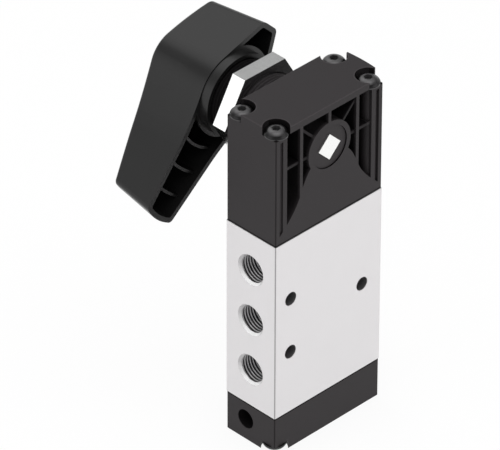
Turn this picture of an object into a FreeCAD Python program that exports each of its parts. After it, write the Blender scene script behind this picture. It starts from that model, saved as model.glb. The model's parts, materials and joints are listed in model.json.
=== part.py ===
import FreeCAD, Part
import math
import os
from FreeCAD import Vector

# Frame: millimetres, origin in the middle of the base's underside.
# +X runs across the wide face, +Y towards the lever, +Z up.

# Envelope of the stacked body
WIDTH = 56.0
DEPTH = 26.0
BASE_HEIGHT = 17.3
BODY_HEIGHT = 79.2
HOUSING_HEIGHT = 50.5
MOULDING_INSET = 0.2
MOULDING_FILLET = 0.5
BODY_CHAMFER = 0.3
GASKET_THICKNESS = 0.4
GASKET_INSET = 0.3

# Ports, all with the same pipe thread, and their passages to the spool bore
PORT_RADIUS = 6.58
PORT_DEPTH = 11.5
PORT_DRILL_ANGLE = 30.0
PORT_PITCH = 23.0
PASSAGE_RADIUS = 3.8

# Through holes that fasten the valve to a panel
MOUNT_HOLE_RADIUS = 2.9
MOUNT_HOLE_PITCH = 24.4
MOUNT_HOLE_LEFT_INSET = 8.1
MOUNT_HOLE_RIGHT_INSET = 10.1
MOUNT_HOLE_RISE = 0.3

# Corner screws, four above and two on a diagonal below
SCREW_INSET = 4.1
SCREW_RADIUS = 2.5
SCREW_HEAD_RADIUS = 4.6
SCREW_HEAD_HEIGHT = 2.75
HEAD_RIM_SHARE = 0.25
HEAD_FLAT_SHARE = 0.42
HEAD_BULGE_OUT = 0.8
HEAD_BULGE_UP = 0.72
SCREW_SOCKET = 3.0
SCREW_SOCKET_DEPTH = 1.7
SCREW_CLEARANCE = 0.1
THREAD_FIT = 0.02
NOTCH_RADIUS = 5.1
NOTCH_DEPTH = 3.5
SCREW_ENGAGEMENT = 8.6
SCREW_TIP_GAP = 1.0

# Vent in the base
VENT_RADIUS = 4.05
VENT_Y = 2.7
VENT_RISE = 0.65
FILTER_THICKNESS = 3.0
FILTER_INSET = 1.0
BASE_CHAMBER_RADIUS = 6.4
BASE_FLOOR = 3.6

# Spool stack
SPOOL_BORE_RADIUS = 9.0
SLEEVE_FIT = 0.05
SPOOL_RADIUS = 5.0
SPOOL_FIT = 0.05
SPOOL_GROOVE_RADIUS = 3.4
SEAL_HEIGHT = 2.5
CAGE_INNER_RADIUS = 6.3
CAGE_WINDOW_WIDTH = 4.6
CAGE_WINDOW_HEIGHT = 5.0
CAGE_WINDOWS = 6
GUIDE_FLANGE_RADIUS = 11.0
GUIDE_FLANGE_HEIGHT = 2.0
SPOOL_FOOT_GAP = 4.0
GROOVE_CLEAR = 4.0
SPOOL_STEM_RADIUS = 1.6
SPOOL_NECK_RADIUS = 2.8

# Turning shaft line
SHAFT_RISE = 31.8
SHAFT_SQUARE = 8.0
SHAFT_CORNER = 0.12
SQUARE_FIT = 0.03
THROW_ANGLE = 90.0
ECCENTRIC = 3.0
ECCENTRIC_RADIUS = 9.5
ECCENTRIC_WIDTH = 5.0
FRONT_HOLE_RADIUS = 9.0
JOURNAL_FIT = 0.08
JOURNAL_RECESS = 0.5
REAR_JOURNAL_RADIUS = 9.0
BUSH_FIT = 0.05
O_RING_RADIUS = 0.9
O_RING_GROOVE_WIDTH = 2.4
O_RING_GROOVE_DEPTH = 1.5
O_RING_FIT = 0.05

# Yoke that turns the eccentric's throw into spool travel
YOKE_WIDTH = 4.6
YOKE_SIDE_BAR = 2.2
YOKE_CLEARANCE = 0.2
YOKE_SIDE_GAP = 0.7
YOKE_FOOT_WIDTH = 9.0
YOKE_FOOT_HEIGHT = 8.0
YOKE_CORNER = 2.0
YOKE_PIN_RADIUS = 0.8

# Detent
DETENT_BALL_RADIUS = 1.5
DETENT_BITE = 0.4
DETENT_LIFT = 0.05
DETENT_FIT = 0.1
DETENT_Y = 4.35
DETENT_WALL = 2.0
DETENT_TOWER_GAP = 1.0
DETENT_WIRE_RADIUS = 0.25
DETENT_COILS = 6
SPRING_SEAT_SHARE = 0.8
SPRING_PLUG_GAP = 0.2
DETENT_PLUG_LENGTH = 5.0
DETENT_PLUG_RECESS = 0.3
DETENT_SLOT_DEPTH = 1.2
DETENT_SLOT_WIDTH = 0.8

# Housing mouldings
CAVITY_SIDE_WALL = 9.0
CAVITY_FRONT_GAP = 0.4
CAVITY_BACK_WALL = 2.5
CAVITY_ROOF = 3.0
TOP_EDGE_FILLET = 0.4
POCKET_FLOOR_WALL = 1.6
TOP_PLATE = 3.0
BOSS_RADIUS = 11.0
CENTRE_RIB = 1.4
SIDE_RIB = 1.5
SIDE_RIB_X = 14.6
CROSS_RIB = 1.2
CROSS_RIB_RECESS = 0.8
BRACE_RIB = 1.0
BRACE_ANGLE = 45.0
POCKET_SIDE_WALL = 6.0
GROOVE_SIDE_WALL = 2.2
GROOVE_WIDTH = 1.7
GROOVE_DEPTH = 1.0
GROOVE_TOP_GAP = 5.0
SKIRT_SHARES = (0.345, 0.482, 0.583, 0.737, 1.0)
SKIRT_RISES = (26.9, 21.1, 14.8, 8.9, 1.9)
PAD_HALF_WIDTH = 7.2
PAD_ROOT = 2.5
PAD_RISE = 1.5
PAD_CROWN = 0.35
PAD_FOOT_GAP = 4.0

# Panel neck and nut
NECK_RADIUS = 15.0
NECK_BORE_RADIUS = 12.7
NECK_REACH = 23.0
NECK_BORE_LEAD = 4.0
NECK_CHAMFER = 0.8
NUT_ACROSS_FLATS = 36.0
PANEL_GAP = 8.0
NUT_THICKNESS = 6.5
NUT_BORE_CHAMFER = 0.4
NUT_FIT = 0.05
SEAL_WIDTH = 2.0
BUSH_SETBACK = 1.0

# Lever, in its own frame: arm along -Z, depth along +Y
LEVER_REST_ANGLE = 45.0
RIM_REACH = 25.3
HEAD_RADIUS = 17.4
HEAD_LENGTH = 28.3
HEAD_FLAT = 4.7
HEAD_CORNER = 3.0
ARM_START = 28.0
ARM_START_HALF = 11.15
TIP_LENGTH = 55.5
TIP_HALF = 8.3
TIP_CROWN_RADIUS = 24.0
TIP_CORNER = 2.2
TIP_SAG = 1.1
TIP_CHORD_SHARE = 0.8
LEVER_WALL = 2.0
LEVER_BACK_WALL = 2.5
LEVER_DRAFT = 5.4
TIP_LEAN = 1.5
BACK_CROWN = ((-30.0, 26.6), (-4.0, 30.5), (24.0, 27.5), (57.0, 19.8))
BACK_FILLET = 1.2
BACK_MARGIN = 2.0
HUB_RADIUS = 17.0
HUB_FRONT = 4.1
HUB_WALL = 1.5
HUB_COLLAR_RADIUS = 18.6
HUB_COLLAR_THICKNESS = 1.2
BOSS_WALL = 4.6
BOSS_BACK_GAP = 6.0
BOSS_FLOOR = 1.0
HUB_WEB = 2.5
HUB_GAP = 0.6
STRENGTH_RIB = 1.1
STRENGTH_RIB_RECESS = 2.7
STRENGTH_RIB_RADII = (24.3, 34.5, 44.8)
HUB_SPOKES = 6
LEVER_SCREW_LENGTH = 12.0
WASHER_RADIUS = 5.6
WASHER_THICKNESS = 1.0
CAP_RADIUS = 6.5
CAP_THICKNESS = 1.6
CAP_RECESS = 0.4
CAP_RIM = 0.6
CAP_RIM_DEPTH = 1.0

# Heights and faces that follow from the sizes above
TOTAL_HEIGHT = BASE_HEIGHT + BODY_HEIGHT + HOUSING_HEIGHT
BODY_TOP = BASE_HEIGHT + BODY_HEIGHT
PORT_CENTRE_Z = BASE_HEIGHT + BODY_HEIGHT / 2
MOUNT_HOLE_Z = PORT_CENTRE_Z + MOUNT_HOLE_RISE
VENT_Z = BASE_HEIGHT / 2 + VENT_RISE
SHAFT_Z = BODY_TOP + SHAFT_RISE
SCREW_X = WIDTH / 2 - SCREW_INSET
SCREW_Y = DEPTH / 2 - SCREW_INSET
HALF_GASKET = GASKET_THICKNESS / 2
FRONT_Y = -DEPTH / 2 + MOULDING_INSET
SIDE_X = WIDTH / 2 - MOULDING_INSET
HALF_PITCH = PORT_PITCH / 2
HALF_THROW = math.radians(THROW_ANGLE / 2)
SPOOL_TRAVEL = 2 * ECCENTRIC * math.sin(HALF_THROW)
REST_DROP = SPOOL_TRAVEL / 2
CAVITY_TOP = TOTAL_HEIGHT - CAVITY_ROOF
CAVITY_HALF_WIDTH = WIDTH / 2 - CAVITY_SIDE_WALL
CAVITY_FRONT_Y = -SPOOL_NECK_RADIUS - CAVITY_FRONT_GAP
CAVITY_BACK_Y = DEPTH / 2 - CAVITY_BACK_WALL
POCKET_FLOOR_Y = CAVITY_FRONT_Y - POCKET_FLOOR_WALL
POCKET_DEPTH = POCKET_FLOOR_Y - FRONT_Y
NECK_END_Y = DEPTH / 2 + NECK_REACH
NUT_FRONT_Y = DEPTH / 2 + PANEL_GAP
BUSH_FRONT_Y = DEPTH / 2 - BUSH_SETBACK
RIM_Y = DEPTH / 2 + RIM_REACH
HUB_FRONT_Y = RIM_Y - HUB_FRONT
CROWN_Y = RIM_Y + BACK_CROWN[1][1]
LEVER_TRIM_Y = CROWN_Y + BACK_MARGIN
SCREW_HOLE_RADIUS = SCREW_RADIUS + SCREW_CLEARANCE
SLEEVE_RADIUS = SPOOL_BORE_RADIUS - SLEEVE_FIT
GUIDE_RADIUS = SPOOL_RADIUS + SPOOL_FIT
PARALLEL_ANGLE = 8.0
LEVEL_MARGIN = 0.01
AXIS_X = Vector(1, 0, 0)
AXIS_Y = Vector(0, 1, 0)
AXIS_Z = Vector(0, 0, 1)
SHAFT_CENTRE = Vector(0, 0, SHAFT_Z)


def box(x0, x1, y0, y1, z0, z1):
    """Solid between two values on each axis."""
    return Part.makeBox(x1 - x0, y1 - y0, z1 - z0, Vector(x0, y0, z0))


def tube(outer, inner, start, direction, length):
    """Straight ring with a round bore."""
    solid = Part.makeCylinder(outer, length, start, direction)
    return solid.cut(Part.makeCylinder(inner, length, start, direction))


def prism(points, direction):
    """Closed polygon carried along a direction."""
    wire = Part.makePolygon(points + [points[0]])
    return Part.Face(wire).extrude(direction)


def hexagon(across_flats, height):
    """Six sided prism up from the origin, with two corners on the X axis."""
    corner = Vector(across_flats / 2 / math.cos(math.radians(30)), 0, 0)
    flat = Part.makePolygon([at_angle(corner, 60 * k) for k in range(7)])
    return Part.Face(flat).extrude(AXIS_Z * height)


def at_angle(point, degrees):
    """The point turned about the Z axis."""
    angle = math.radians(degrees)
    x = point.x * math.cos(angle) - point.y * math.sin(angle)
    y = point.x * math.sin(angle) + point.y * math.cos(angle)
    return Vector(x, y, point.z)


def mirrored(shape):
    """The shape together with its mirror image across X."""
    return shape.fuse(shape.mirror(Vector(0, 0, 0), AXIS_X))


def joined(shapes):
    """One solid from shapes that touch."""
    return shapes[0].multiFuse(shapes[1:]).removeSplitter()


def along_y(radius, y0, y1, centre=SHAFT_CENTRE):
    """Cylinder on a line along Y through the given centre."""
    start = Vector(centre.x, y0, centre.z)
    return Part.makeCylinder(radius, y1 - y0, start, AXIS_Y)


def edges_along(solid, axis):
    """Edges that run along the axis."""
    least = math.cos(math.radians(PARALLEL_ANGLE))
    return [edge for edge in solid.Edges if abs(edge.tangentAt(edge.FirstParameter).dot(axis)) > least]


def edges_at(solid, axis, level):
    """Edges that lie at one level along the axis."""
    found = []
    for edge in solid.Edges:
        offsets = [vertex.Point.dot(axis) - level for vertex in edge.Vertexes]
        if max(abs(offset) for offset in offsets) < LEVEL_MARGIN:
            found.append(edge)
    return found


def upright_block(x, y, z0, z1, fillet):
    """Block centred on the Z axis with rounded upright edges."""
    block = box(-x, x, -y, y, z0, z1)
    return block.makeFillet(fillet, edges_along(block, AXIS_Z))


def top_corners():
    """Centres of the four screws that hold the housing."""
    return [Vector(sx * SCREW_X, sy * SCREW_Y, 0) for sx in (-1, 1) for sy in (-1, 1)]


def base_corners():
    """Centres of the two screws that hold the base, on a diagonal."""
    return [Vector(side * SCREW_X, side * SCREW_Y, 0) for side in (-1, 1)]


def corner_notch(corner, z0, z1):
    """Counterbore for a screw head, open through both side faces at its corner."""
    bore = Part.makeCylinder(NOTCH_RADIUS, z1 - z0, Vector(corner.x, corner.y, z0))
    far = Vector(math.copysign(WIDTH, corner.x), math.copysign(DEPTH, corner.y), 0)
    x0, x1 = sorted((corner.x, far.x))
    y0, y1 = sorted((corner.y, far.y))
    return bore.fuse(box(x0, x1, y0, y1, z0, z1))


def port_places():
    """Side sign and height of each port: three on the left, two on the right."""
    left = [(-1, PORT_CENTRE_Z + k * PORT_PITCH) for k in (-1, 0, 1)]
    right = [(1, PORT_CENTRE_Z + k * HALF_PITCH) for k in (-1, 1)]
    return left + right


def mount_hole_places():
    """X and Z of the through holes."""
    left = MOUNT_HOLE_LEFT_INSET - WIDTH / 2
    right = WIDTH / 2 - MOUNT_HOLE_RIGHT_INSET
    half = MOUNT_HOLE_PITCH / 2
    return [(left, MOUNT_HOLE_Z + half), (left, MOUNT_HOLE_Z - half), (right, MOUNT_HOLE_Z)]


def port_cut(side, z):
    """Tapped bore with a drilled point and a passage to the spool bore."""
    inward = Vector(-side, 0, 0)
    mouth = Vector(side * WIDTH / 2, 0, z)
    bore = Part.makeCylinder(PORT_RADIUS, PORT_DEPTH, mouth, inward)
    point_depth = (PORT_RADIUS - PASSAGE_RADIUS) * math.tan(math.radians(PORT_DRILL_ANGLE))
    floor = mouth + inward * PORT_DEPTH
    point = Part.makeCone(PORT_RADIUS, PASSAGE_RADIUS, point_depth, floor, inward)
    passage = Part.makeCylinder(PASSAGE_RADIUS, WIDTH / 2, mouth, inward)
    return joined([bore, point, passage])


def make_valve_body():
    """Aluminium block with ports, through holes and the spool bore."""
    bottom = BASE_HEIGHT + HALF_GASKET
    top = BODY_TOP - HALF_GASKET
    block = box(-WIDTH / 2, WIDTH / 2, -DEPTH / 2, DEPTH / 2, bottom, top)
    block = block.makeChamfer(BODY_CHAMFER, edges_along(block, AXIS_Z))
    cuts = [port_cut(side, z) for side, z in port_places()]
    for x, z in mount_hole_places():
        cuts.append(along_y(MOUNT_HOLE_RADIUS, -DEPTH, DEPTH, Vector(x, 0, z)))
    cuts.append(Part.makeCylinder(SPOOL_BORE_RADIUS, BODY_HEIGHT, Vector(0, 0, bottom)))
    flange_seat = Vector(0, 0, top - GUIDE_FLANGE_HEIGHT)
    cuts.append(Part.makeCylinder(GUIDE_FLANGE_RADIUS + SLEEVE_FIT, GUIDE_FLANGE_HEIGHT, flange_seat))
    tapped = SCREW_RADIUS + THREAD_FIT
    for corner in top_corners():
        start = corner + AXIS_Z * (top - SCREW_ENGAGEMENT)
        cuts.append(Part.makeCylinder(tapped, SCREW_ENGAGEMENT, start))
    for corner in base_corners():
        cuts.append(Part.makeCylinder(tapped, SCREW_ENGAGEMENT, corner + AXIS_Z * bottom))
    return block.cut(cuts)


def gasket(z, corners):
    """Flat gasket between two of the stacked blocks, with its screw holes."""
    x = WIDTH / 2 - GASKET_INSET
    y = DEPTH / 2 - GASKET_INSET
    sheet = box(-x, x, -y, y, z - HALF_GASKET, z + HALF_GASKET)
    low = z - HALF_GASKET
    holes = [Part.makeCylinder(GUIDE_FLANGE_RADIUS, GASKET_THICKNESS, Vector(0, 0, low))]
    for corner in corners:
        holes.append(Part.makeCylinder(SCREW_HOLE_RADIUS, GASKET_THICKNESS, corner + AXIS_Z * low))
    return sheet.cut(holes)


def make_base_gasket():
    """Gasket under the body."""
    return gasket(BASE_HEIGHT, base_corners())


def make_housing_gasket():
    """Gasket on top of the body."""
    return gasket(BODY_TOP, top_corners())


def make_base_cap():
    """End cap that closes the spool bore, with its exhaust vent."""
    top = BASE_HEIGHT - HALF_GASKET
    cap = upright_block(SIDE_X, -FRONT_Y, 0, top, MOULDING_FILLET)
    cuts = []
    for corner in base_corners():
        cuts.append(corner_notch(corner, 0, NOTCH_DEPTH))
        cuts.append(Part.makeCylinder(SCREW_HOLE_RADIUS, BASE_HEIGHT, corner))
    chamber_height = top - BASE_FLOOR
    cuts.append(Part.makeCylinder(BASE_CHAMBER_RADIUS, chamber_height, Vector(0, 0, BASE_FLOOR)))
    cuts.append(Part.makeCylinder(VENT_RADIUS, SIDE_X, Vector(-SIDE_X, VENT_Y, VENT_Z), AXIS_X))
    return cap.cut(cuts)


def make_vent_filter():
    """Sintered disc pressed into the inner end of the vent."""
    start = Vector(-BASE_CHAMBER_RADIUS - FILTER_THICKNESS - FILTER_INSET, VENT_Y, VENT_Z)
    return Part.makeCylinder(VENT_RADIUS, FILTER_THICKNESS, start, AXIS_X)


def button_screw(shank_length):
    """Button head screw, head up, with the head's seat at zero height."""
    seat = Vector(0, 0, 0)
    top = Vector(0, 0, SCREW_HEAD_HEIGHT)
    edge = Vector(SCREW_HEAD_RADIUS, 0, 0)
    shoulder = edge + AXIS_Z * (HEAD_RIM_SHARE * SCREW_HEAD_HEIGHT)
    crown = top + AXIS_X * (HEAD_FLAT_SHARE * SCREW_HEAD_RADIUS)
    bulge = edge * HEAD_BULGE_OUT + top * HEAD_BULGE_UP
    outline = [
        Part.LineSegment(seat, edge),
        Part.LineSegment(edge, shoulder),
        Part.Arc(shoulder, bulge, crown),
        Part.LineSegment(crown, top),
        Part.LineSegment(top, seat),
    ]
    wire = Part.Wire([piece.toShape() for piece in outline])
    head = Part.Face(wire).revolve(seat, AXIS_Z, 360)
    shank = Part.makeCylinder(SCREW_RADIUS, shank_length, AXIS_Z * -shank_length)
    socket = hexagon(SCREW_SOCKET, SCREW_HEAD_HEIGHT)
    return joined([head, shank]).cut(socket.translated(AXIS_Z * (SCREW_HEAD_HEIGHT - SCREW_SOCKET_DEPTH)))


def make_top_screws():
    """Four long screws through the housing into the body."""
    seat = TOTAL_HEIGHT - NOTCH_DEPTH
    length = seat - (BODY_TOP - HALF_GASKET - SCREW_ENGAGEMENT) - SCREW_TIP_GAP
    screw = button_screw(length)
    return Part.makeCompound([screw.translated(corner + AXIS_Z * seat) for corner in top_corners()])


def make_base_screws():
    """Two screws up through the base cap into the body."""
    length = BASE_HEIGHT + HALF_GASKET + SCREW_ENGAGEMENT - NOTCH_DEPTH - SCREW_TIP_GAP
    screw = button_screw(length).rotated(Vector(0, 0, 0), AXIS_X, 180)
    return Part.makeCompound([screw.translated(corner + AXIS_Z * NOTCH_DEPTH) for corner in base_corners()])


def seal_levels():
    """Heights of the spool seals, half way between the ports."""
    return [PORT_CENTRE_Z + (k - 2.5) * HALF_PITCH for k in range(6)]


def make_spool_seals():
    """Ring seals that part the ports from each other."""
    rings = []
    for z in seal_levels():
        start = Vector(0, 0, z - SEAL_HEIGHT / 2)
        rings.append(tube(SLEEVE_RADIUS, GUIDE_RADIUS, start, AXIS_Z, SEAL_HEIGHT))
    return Part.makeCompound(rings)


def make_spool_cages():
    """Windowed spacers that hold the seals apart at each port."""
    height = HALF_PITCH - SEAL_HEIGHT
    cages = []
    for z in seal_levels()[:-1]:
        low = z + SEAL_HEIGHT / 2
        cage = tube(SLEEVE_RADIUS, CAGE_INNER_RADIUS, Vector(0, 0, low), AXIS_Z, height)
        middle = low + height / 2
        half_width = CAGE_WINDOW_WIDTH / 2
        half_height = CAGE_WINDOW_HEIGHT / 2
        window = box(0, SLEEVE_RADIUS, -half_width, half_width, middle - half_height, middle + half_height)
        turns = [360 / CAGE_WINDOWS * k for k in range(CAGE_WINDOWS)]
        cages.append(cage.cut([window.rotated(Vector(0, 0, 0), AXIS_Z, turn) for turn in turns]))
    return Part.makeCompound(cages)


def make_lower_guide():
    """Bush that centres the spool's lower end."""
    low = BASE_HEIGHT + HALF_GASKET
    height = seal_levels()[0] - SEAL_HEIGHT / 2 - low
    return tube(SLEEVE_RADIUS, GUIDE_RADIUS, Vector(0, 0, low), AXIS_Z, height)


def make_upper_guide():
    """Flanged bush that centres the spool's upper end."""
    low = seal_levels()[-1] + SEAL_HEIGHT / 2
    top = BODY_TOP - HALF_GASKET
    sleeve = tube(SLEEVE_RADIUS, GUIDE_RADIUS, Vector(0, 0, low), AXIS_Z, top - low)
    seat = Vector(0, 0, top - GUIDE_FLANGE_HEIGHT)
    flange = tube(GUIDE_FLANGE_RADIUS, GUIDE_RADIUS, seat, AXIS_Z, GUIDE_FLANGE_HEIGHT)
    return joined([sleeve, flange])


def yoke_centre_z():
    """Height of the yoke's window centre with the lever at rest."""
    return SHAFT_Z - REST_DROP


def yoke_foot_bottom():
    """Height of the underside of the yoke's foot at rest."""
    return yoke_centre_z() - ECCENTRIC_RADIUS - YOKE_CLEARANCE - YOKE_SIDE_BAR - YOKE_FOOT_HEIGHT


def make_spool():
    """Turned spool with three working grooves, a slim neck and a stem for the yoke."""
    seals = seal_levels()
    foot = BASE_HEIGHT + HALF_GASKET + SPOOL_FOOT_GAP - REST_DROP
    land_top = BODY_TOP - HALF_GASKET - SPOOL_TRAVEL
    shoulder = yoke_foot_bottom()
    lands = Part.makeCylinder(SPOOL_RADIUS, land_top - foot, Vector(0, 0, foot))
    neck = Part.makeCylinder(SPOOL_NECK_RADIUS, shoulder - land_top, Vector(0, 0, land_top))
    stem_top = shoulder + YOKE_FOOT_HEIGHT
    stem = Part.makeCylinder(SPOOL_STEM_RADIUS, stem_top - shoulder, Vector(0, 0, shoulder))
    spans = [
        (seals[0] + GROOVE_CLEAR, seals[1]),
        (seals[2], seals[3]),
        (seals[4], seals[5] - GROOVE_CLEAR),
    ]
    grooves = []
    for low, high in spans:
        start = Vector(0, 0, low - REST_DROP)
        grooves.append(tube(SPOOL_BORE_RADIUS, SPOOL_GROOVE_RADIUS, start, AXIS_Z, high - low))
    body = joined([lands.cut(grooves), neck, stem])
    return body.cut(yoke_pin_hole())


def yoke_pin_hole():
    """Cross hole through the yoke's foot and the spool's stem."""
    z = yoke_foot_bottom() + YOKE_FOOT_HEIGHT / 2
    return along_y(YOKE_PIN_RADIUS, -YOKE_WIDTH, YOKE_WIDTH, Vector(0, 0, z))


def make_yoke():
    """Frame whose window holds the eccentric, with a foot for the spool's stem."""
    reach = ECCENTRIC + ECCENTRIC_RADIUS + YOKE_SIDE_GAP
    half_height = ECCENTRIC_RADIUS + YOKE_CLEARANCE
    z = yoke_centre_z()
    half = YOKE_WIDTH / 2
    outer_x = reach + YOKE_SIDE_BAR
    outer_z = half_height + YOKE_SIDE_BAR
    frame = box(-outer_x, outer_x, -half, half, z - outer_z, z + outer_z)
    frame = frame.makeFillet(YOKE_CORNER, edges_along(frame, AXIS_Y))
    window = box(-reach, reach, -half, half, z - half_height, z + half_height)
    foot_half = YOKE_FOOT_WIDTH / 2
    foot_low = yoke_foot_bottom()
    foot = box(-foot_half, foot_half, -half, half, foot_low, z - half_height - YOKE_SIDE_BAR / 2)
    socket = Part.makeCylinder(SPOOL_STEM_RADIUS + THREAD_FIT, YOKE_FOOT_HEIGHT, Vector(0, 0, foot_low))
    return joined([frame, foot]).cut([window, socket, yoke_pin_hole()])


def make_yoke_pin():
    """Pin that locks the yoke to the spool."""
    z = yoke_foot_bottom() + YOKE_FOOT_HEIGHT / 2
    return along_y(YOKE_PIN_RADIUS, -YOKE_WIDTH / 2, YOKE_WIDTH / 2, Vector(0, 0, z))


def at_rest(shape):
    """Turn a piece of the shaft line from arm straight down to its rest place."""
    turned = shape.rotated(Vector(0, 0, 0), AXIS_Y, LEVER_REST_ANGLE)
    return turned.translated(SHAFT_CENTRE)


def square_bar(size, y0, y1):
    """Square bar along Y on the origin, with its corners just broken."""
    half = size / 2
    bar = box(-half, half, y0, y1, -half, half)
    return bar.makeChamfer(SHAFT_CORNER, edges_along(bar, AXIS_Y))


def o_ring_y():
    """Middle of the O-ring's groove, half way along the bush."""
    return (BUSH_FRONT_Y + NECK_END_Y) / 2


def groove_floor():
    """Radius of the floor of the O-ring's groove."""
    return REAR_JOURNAL_RADIUS - O_RING_GROOVE_DEPTH


def boss_back_y():
    """Depth at which the lever's centre boss ends under the cap."""
    return CROWN_Y - BOSS_BACK_GAP


def make_rotor():
    """Rotor with two journals, the eccentric between them and the detent flutes."""
    half = ECCENTRIC_WIDTH / 2
    origin = Vector(0, 0, 0)
    journal = along_y(FRONT_HOLE_RADIUS - JOURNAL_FIT, FRONT_Y + JOURNAL_RECESS, -half, origin)
    disc = along_y(ECCENTRIC_RADIUS, -half, half, Vector(ECCENTRIC, 0, 0))
    drum = along_y(REAR_JOURNAL_RADIUS, half, NECK_END_Y, origin)
    groove_start = Vector(0, o_ring_y() - O_RING_GROOVE_WIDTH / 2, 0)
    cuts = [square_bar(SHAFT_SQUARE + 2 * SQUARE_FIT, FRONT_Y, NECK_END_Y)]
    cuts.append(tube(ECCENTRIC_RADIUS, groove_floor(), groove_start, AXIS_Y, O_RING_GROOVE_WIDTH))
    flute_radius = DETENT_BALL_RADIUS + DETENT_FIT
    for turn in (LEVER_REST_ANGLE, LEVER_REST_ANGLE - THROW_ANGLE):
        angle = math.radians(turn)
        place = Vector(math.cos(angle), 0, math.sin(angle)) * flute_centre_radius()
        cuts.append(along_y(flute_radius, half, DETENT_Y + flute_radius, place))
    return at_rest(joined([journal, disc, drum]).cut(cuts))


def make_rotor_o_ring():
    """O-ring in the rear journal's groove, pressed flat where it meets the bush."""
    ring_radius = groove_floor() + O_RING_FIT + O_RING_RADIUS
    ring = Part.makeTorus(ring_radius, O_RING_RADIUS, Vector(0, o_ring_y(), 0), AXIS_Y)
    bore = along_y(REAR_JOURNAL_RADIUS + BUSH_FIT / 2, 0, NECK_END_Y, Vector(0, 0, 0))
    return at_rest(ring.common(bore))


def make_drive_shaft():
    """Square shaft from the front disc to the lever's boss."""
    end = boss_back_y() - BOSS_FLOOR
    bar = square_bar(SHAFT_SQUARE, FRONT_Y, end)
    tapped = along_y(SCREW_RADIUS + THREAD_FIT, end - LEVER_SCREW_LENGTH, end, Vector(0, 0, 0))
    return at_rest(bar.cut(tapped))


def skirt_solid(depth):
    """Bell shaped lower web of the housing's front, on the right half."""
    points = []
    for share, rise in zip(SKIRT_SHARES, SKIRT_RISES):
        points.append(Vector(share * SIDE_X, FRONT_Y, BODY_TOP + rise))
    curve = Part.BSplineCurve()
    curve.interpolate(points)
    low = BODY_TOP + HALF_GASKET
    inner_top = Vector(0, FRONT_Y, points[0].z)
    corners = [points[-1], Vector(SIDE_X, FRONT_Y, low), Vector(0, FRONT_Y, low), inner_top, points[0]]
    wire = Part.Wire([curve.toShape()] + Part.makePolygon(corners).Edges)
    return Part.Face(wire).extrude(AXIS_Y * depth)


def brace_rib(y0):
    """Slanted rib from the shaft's boss out to the side rib."""
    length = SIDE_RIB_X / math.cos(math.radians(BRACE_ANGLE))
    rib = box(0, length, y0, POCKET_FLOOR_Y, -BRACE_RIB / 2, BRACE_RIB / 2)
    return rib.rotated(Vector(0, 0, 0), AXIS_Y, -BRACE_ANGLE).translated(SHAFT_CENTRE)


def front_pocket():
    """Everything that is hollow in the right half of the housing's front."""
    floor = POCKET_FLOOR_Y
    top = TOTAL_HEIGHT - TOP_PLATE
    low = BODY_TOP + HALF_GASKET
    recessed = FRONT_Y + CROSS_RIB_RECESS
    outer = WIDTH / 2 - POCKET_SIDE_WALL
    pocket = box(CENTRE_RIB / 2, outer, FRONT_Y, floor, low, top)
    keep = [
        skirt_solid(POCKET_DEPTH),
        along_y(BOSS_RADIUS, FRONT_Y, floor),
        box(SIDE_RIB_X - SIDE_RIB / 2, SIDE_RIB_X + SIDE_RIB / 2, FRONT_Y, floor, low, top),
        box(0, outer, recessed, floor, SHAFT_Z - CROSS_RIB / 2, SHAFT_Z + CROSS_RIB / 2),
        brace_rib(recessed),
    ]
    return pocket.cut(keep)


def side_groove():
    """Narrow upright groove near the housing's corner, above the skirt."""
    low = BODY_TOP + HALF_GASKET
    top = TOTAL_HEIGHT - GROOVE_TOP_GAP
    outer = WIDTH / 2 - GROOVE_SIDE_WALL
    groove = box(outer - GROOVE_WIDTH, outer, FRONT_Y, FRONT_Y + GROOVE_DEPTH, low, top)
    return groove.cut(skirt_solid(GROOVE_DEPTH))


def side_pad():
    """Crowned pad on the housing's right side that takes the detent bore."""
    low = BODY_TOP + HALF_GASKET + PAD_FOOT_GAP
    back = Vector(SIDE_X + PAD_RISE, PAD_HALF_WIDTH, low)
    front = Vector(SIDE_X + PAD_RISE, -PAD_HALF_WIDTH, low)
    inwards = AXIS_X * (CAVITY_HALF_WIDTH + PAD_ROOT - back.x)
    crown = Part.Arc(front, Vector(back.x + PAD_CROWN, 0, low), back).toShape()
    sides = Part.makePolygon([back, back + inwards, front + inwards, front])
    wire = Part.Wire([crown] + sides.Edges)
    return Part.Face(wire).extrude(AXIS_Z * (TOTAL_HEIGHT - low))


def flute_centre_radius():
    """Distance from the shaft's axis to the middle of a detent flute."""
    return REAR_JOURNAL_RADIUS + DETENT_BALL_RADIUS - DETENT_BITE


def detent_ball_x():
    """X of the detent ball's centre, lifted just clear of the rotor."""
    return REAR_JOURNAL_RADIUS + DETENT_BALL_RADIUS + DETENT_LIFT


def detent_face_x():
    """Outer end of the detent bore, on the pad's face."""
    return SIDE_X + PAD_RISE


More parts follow.
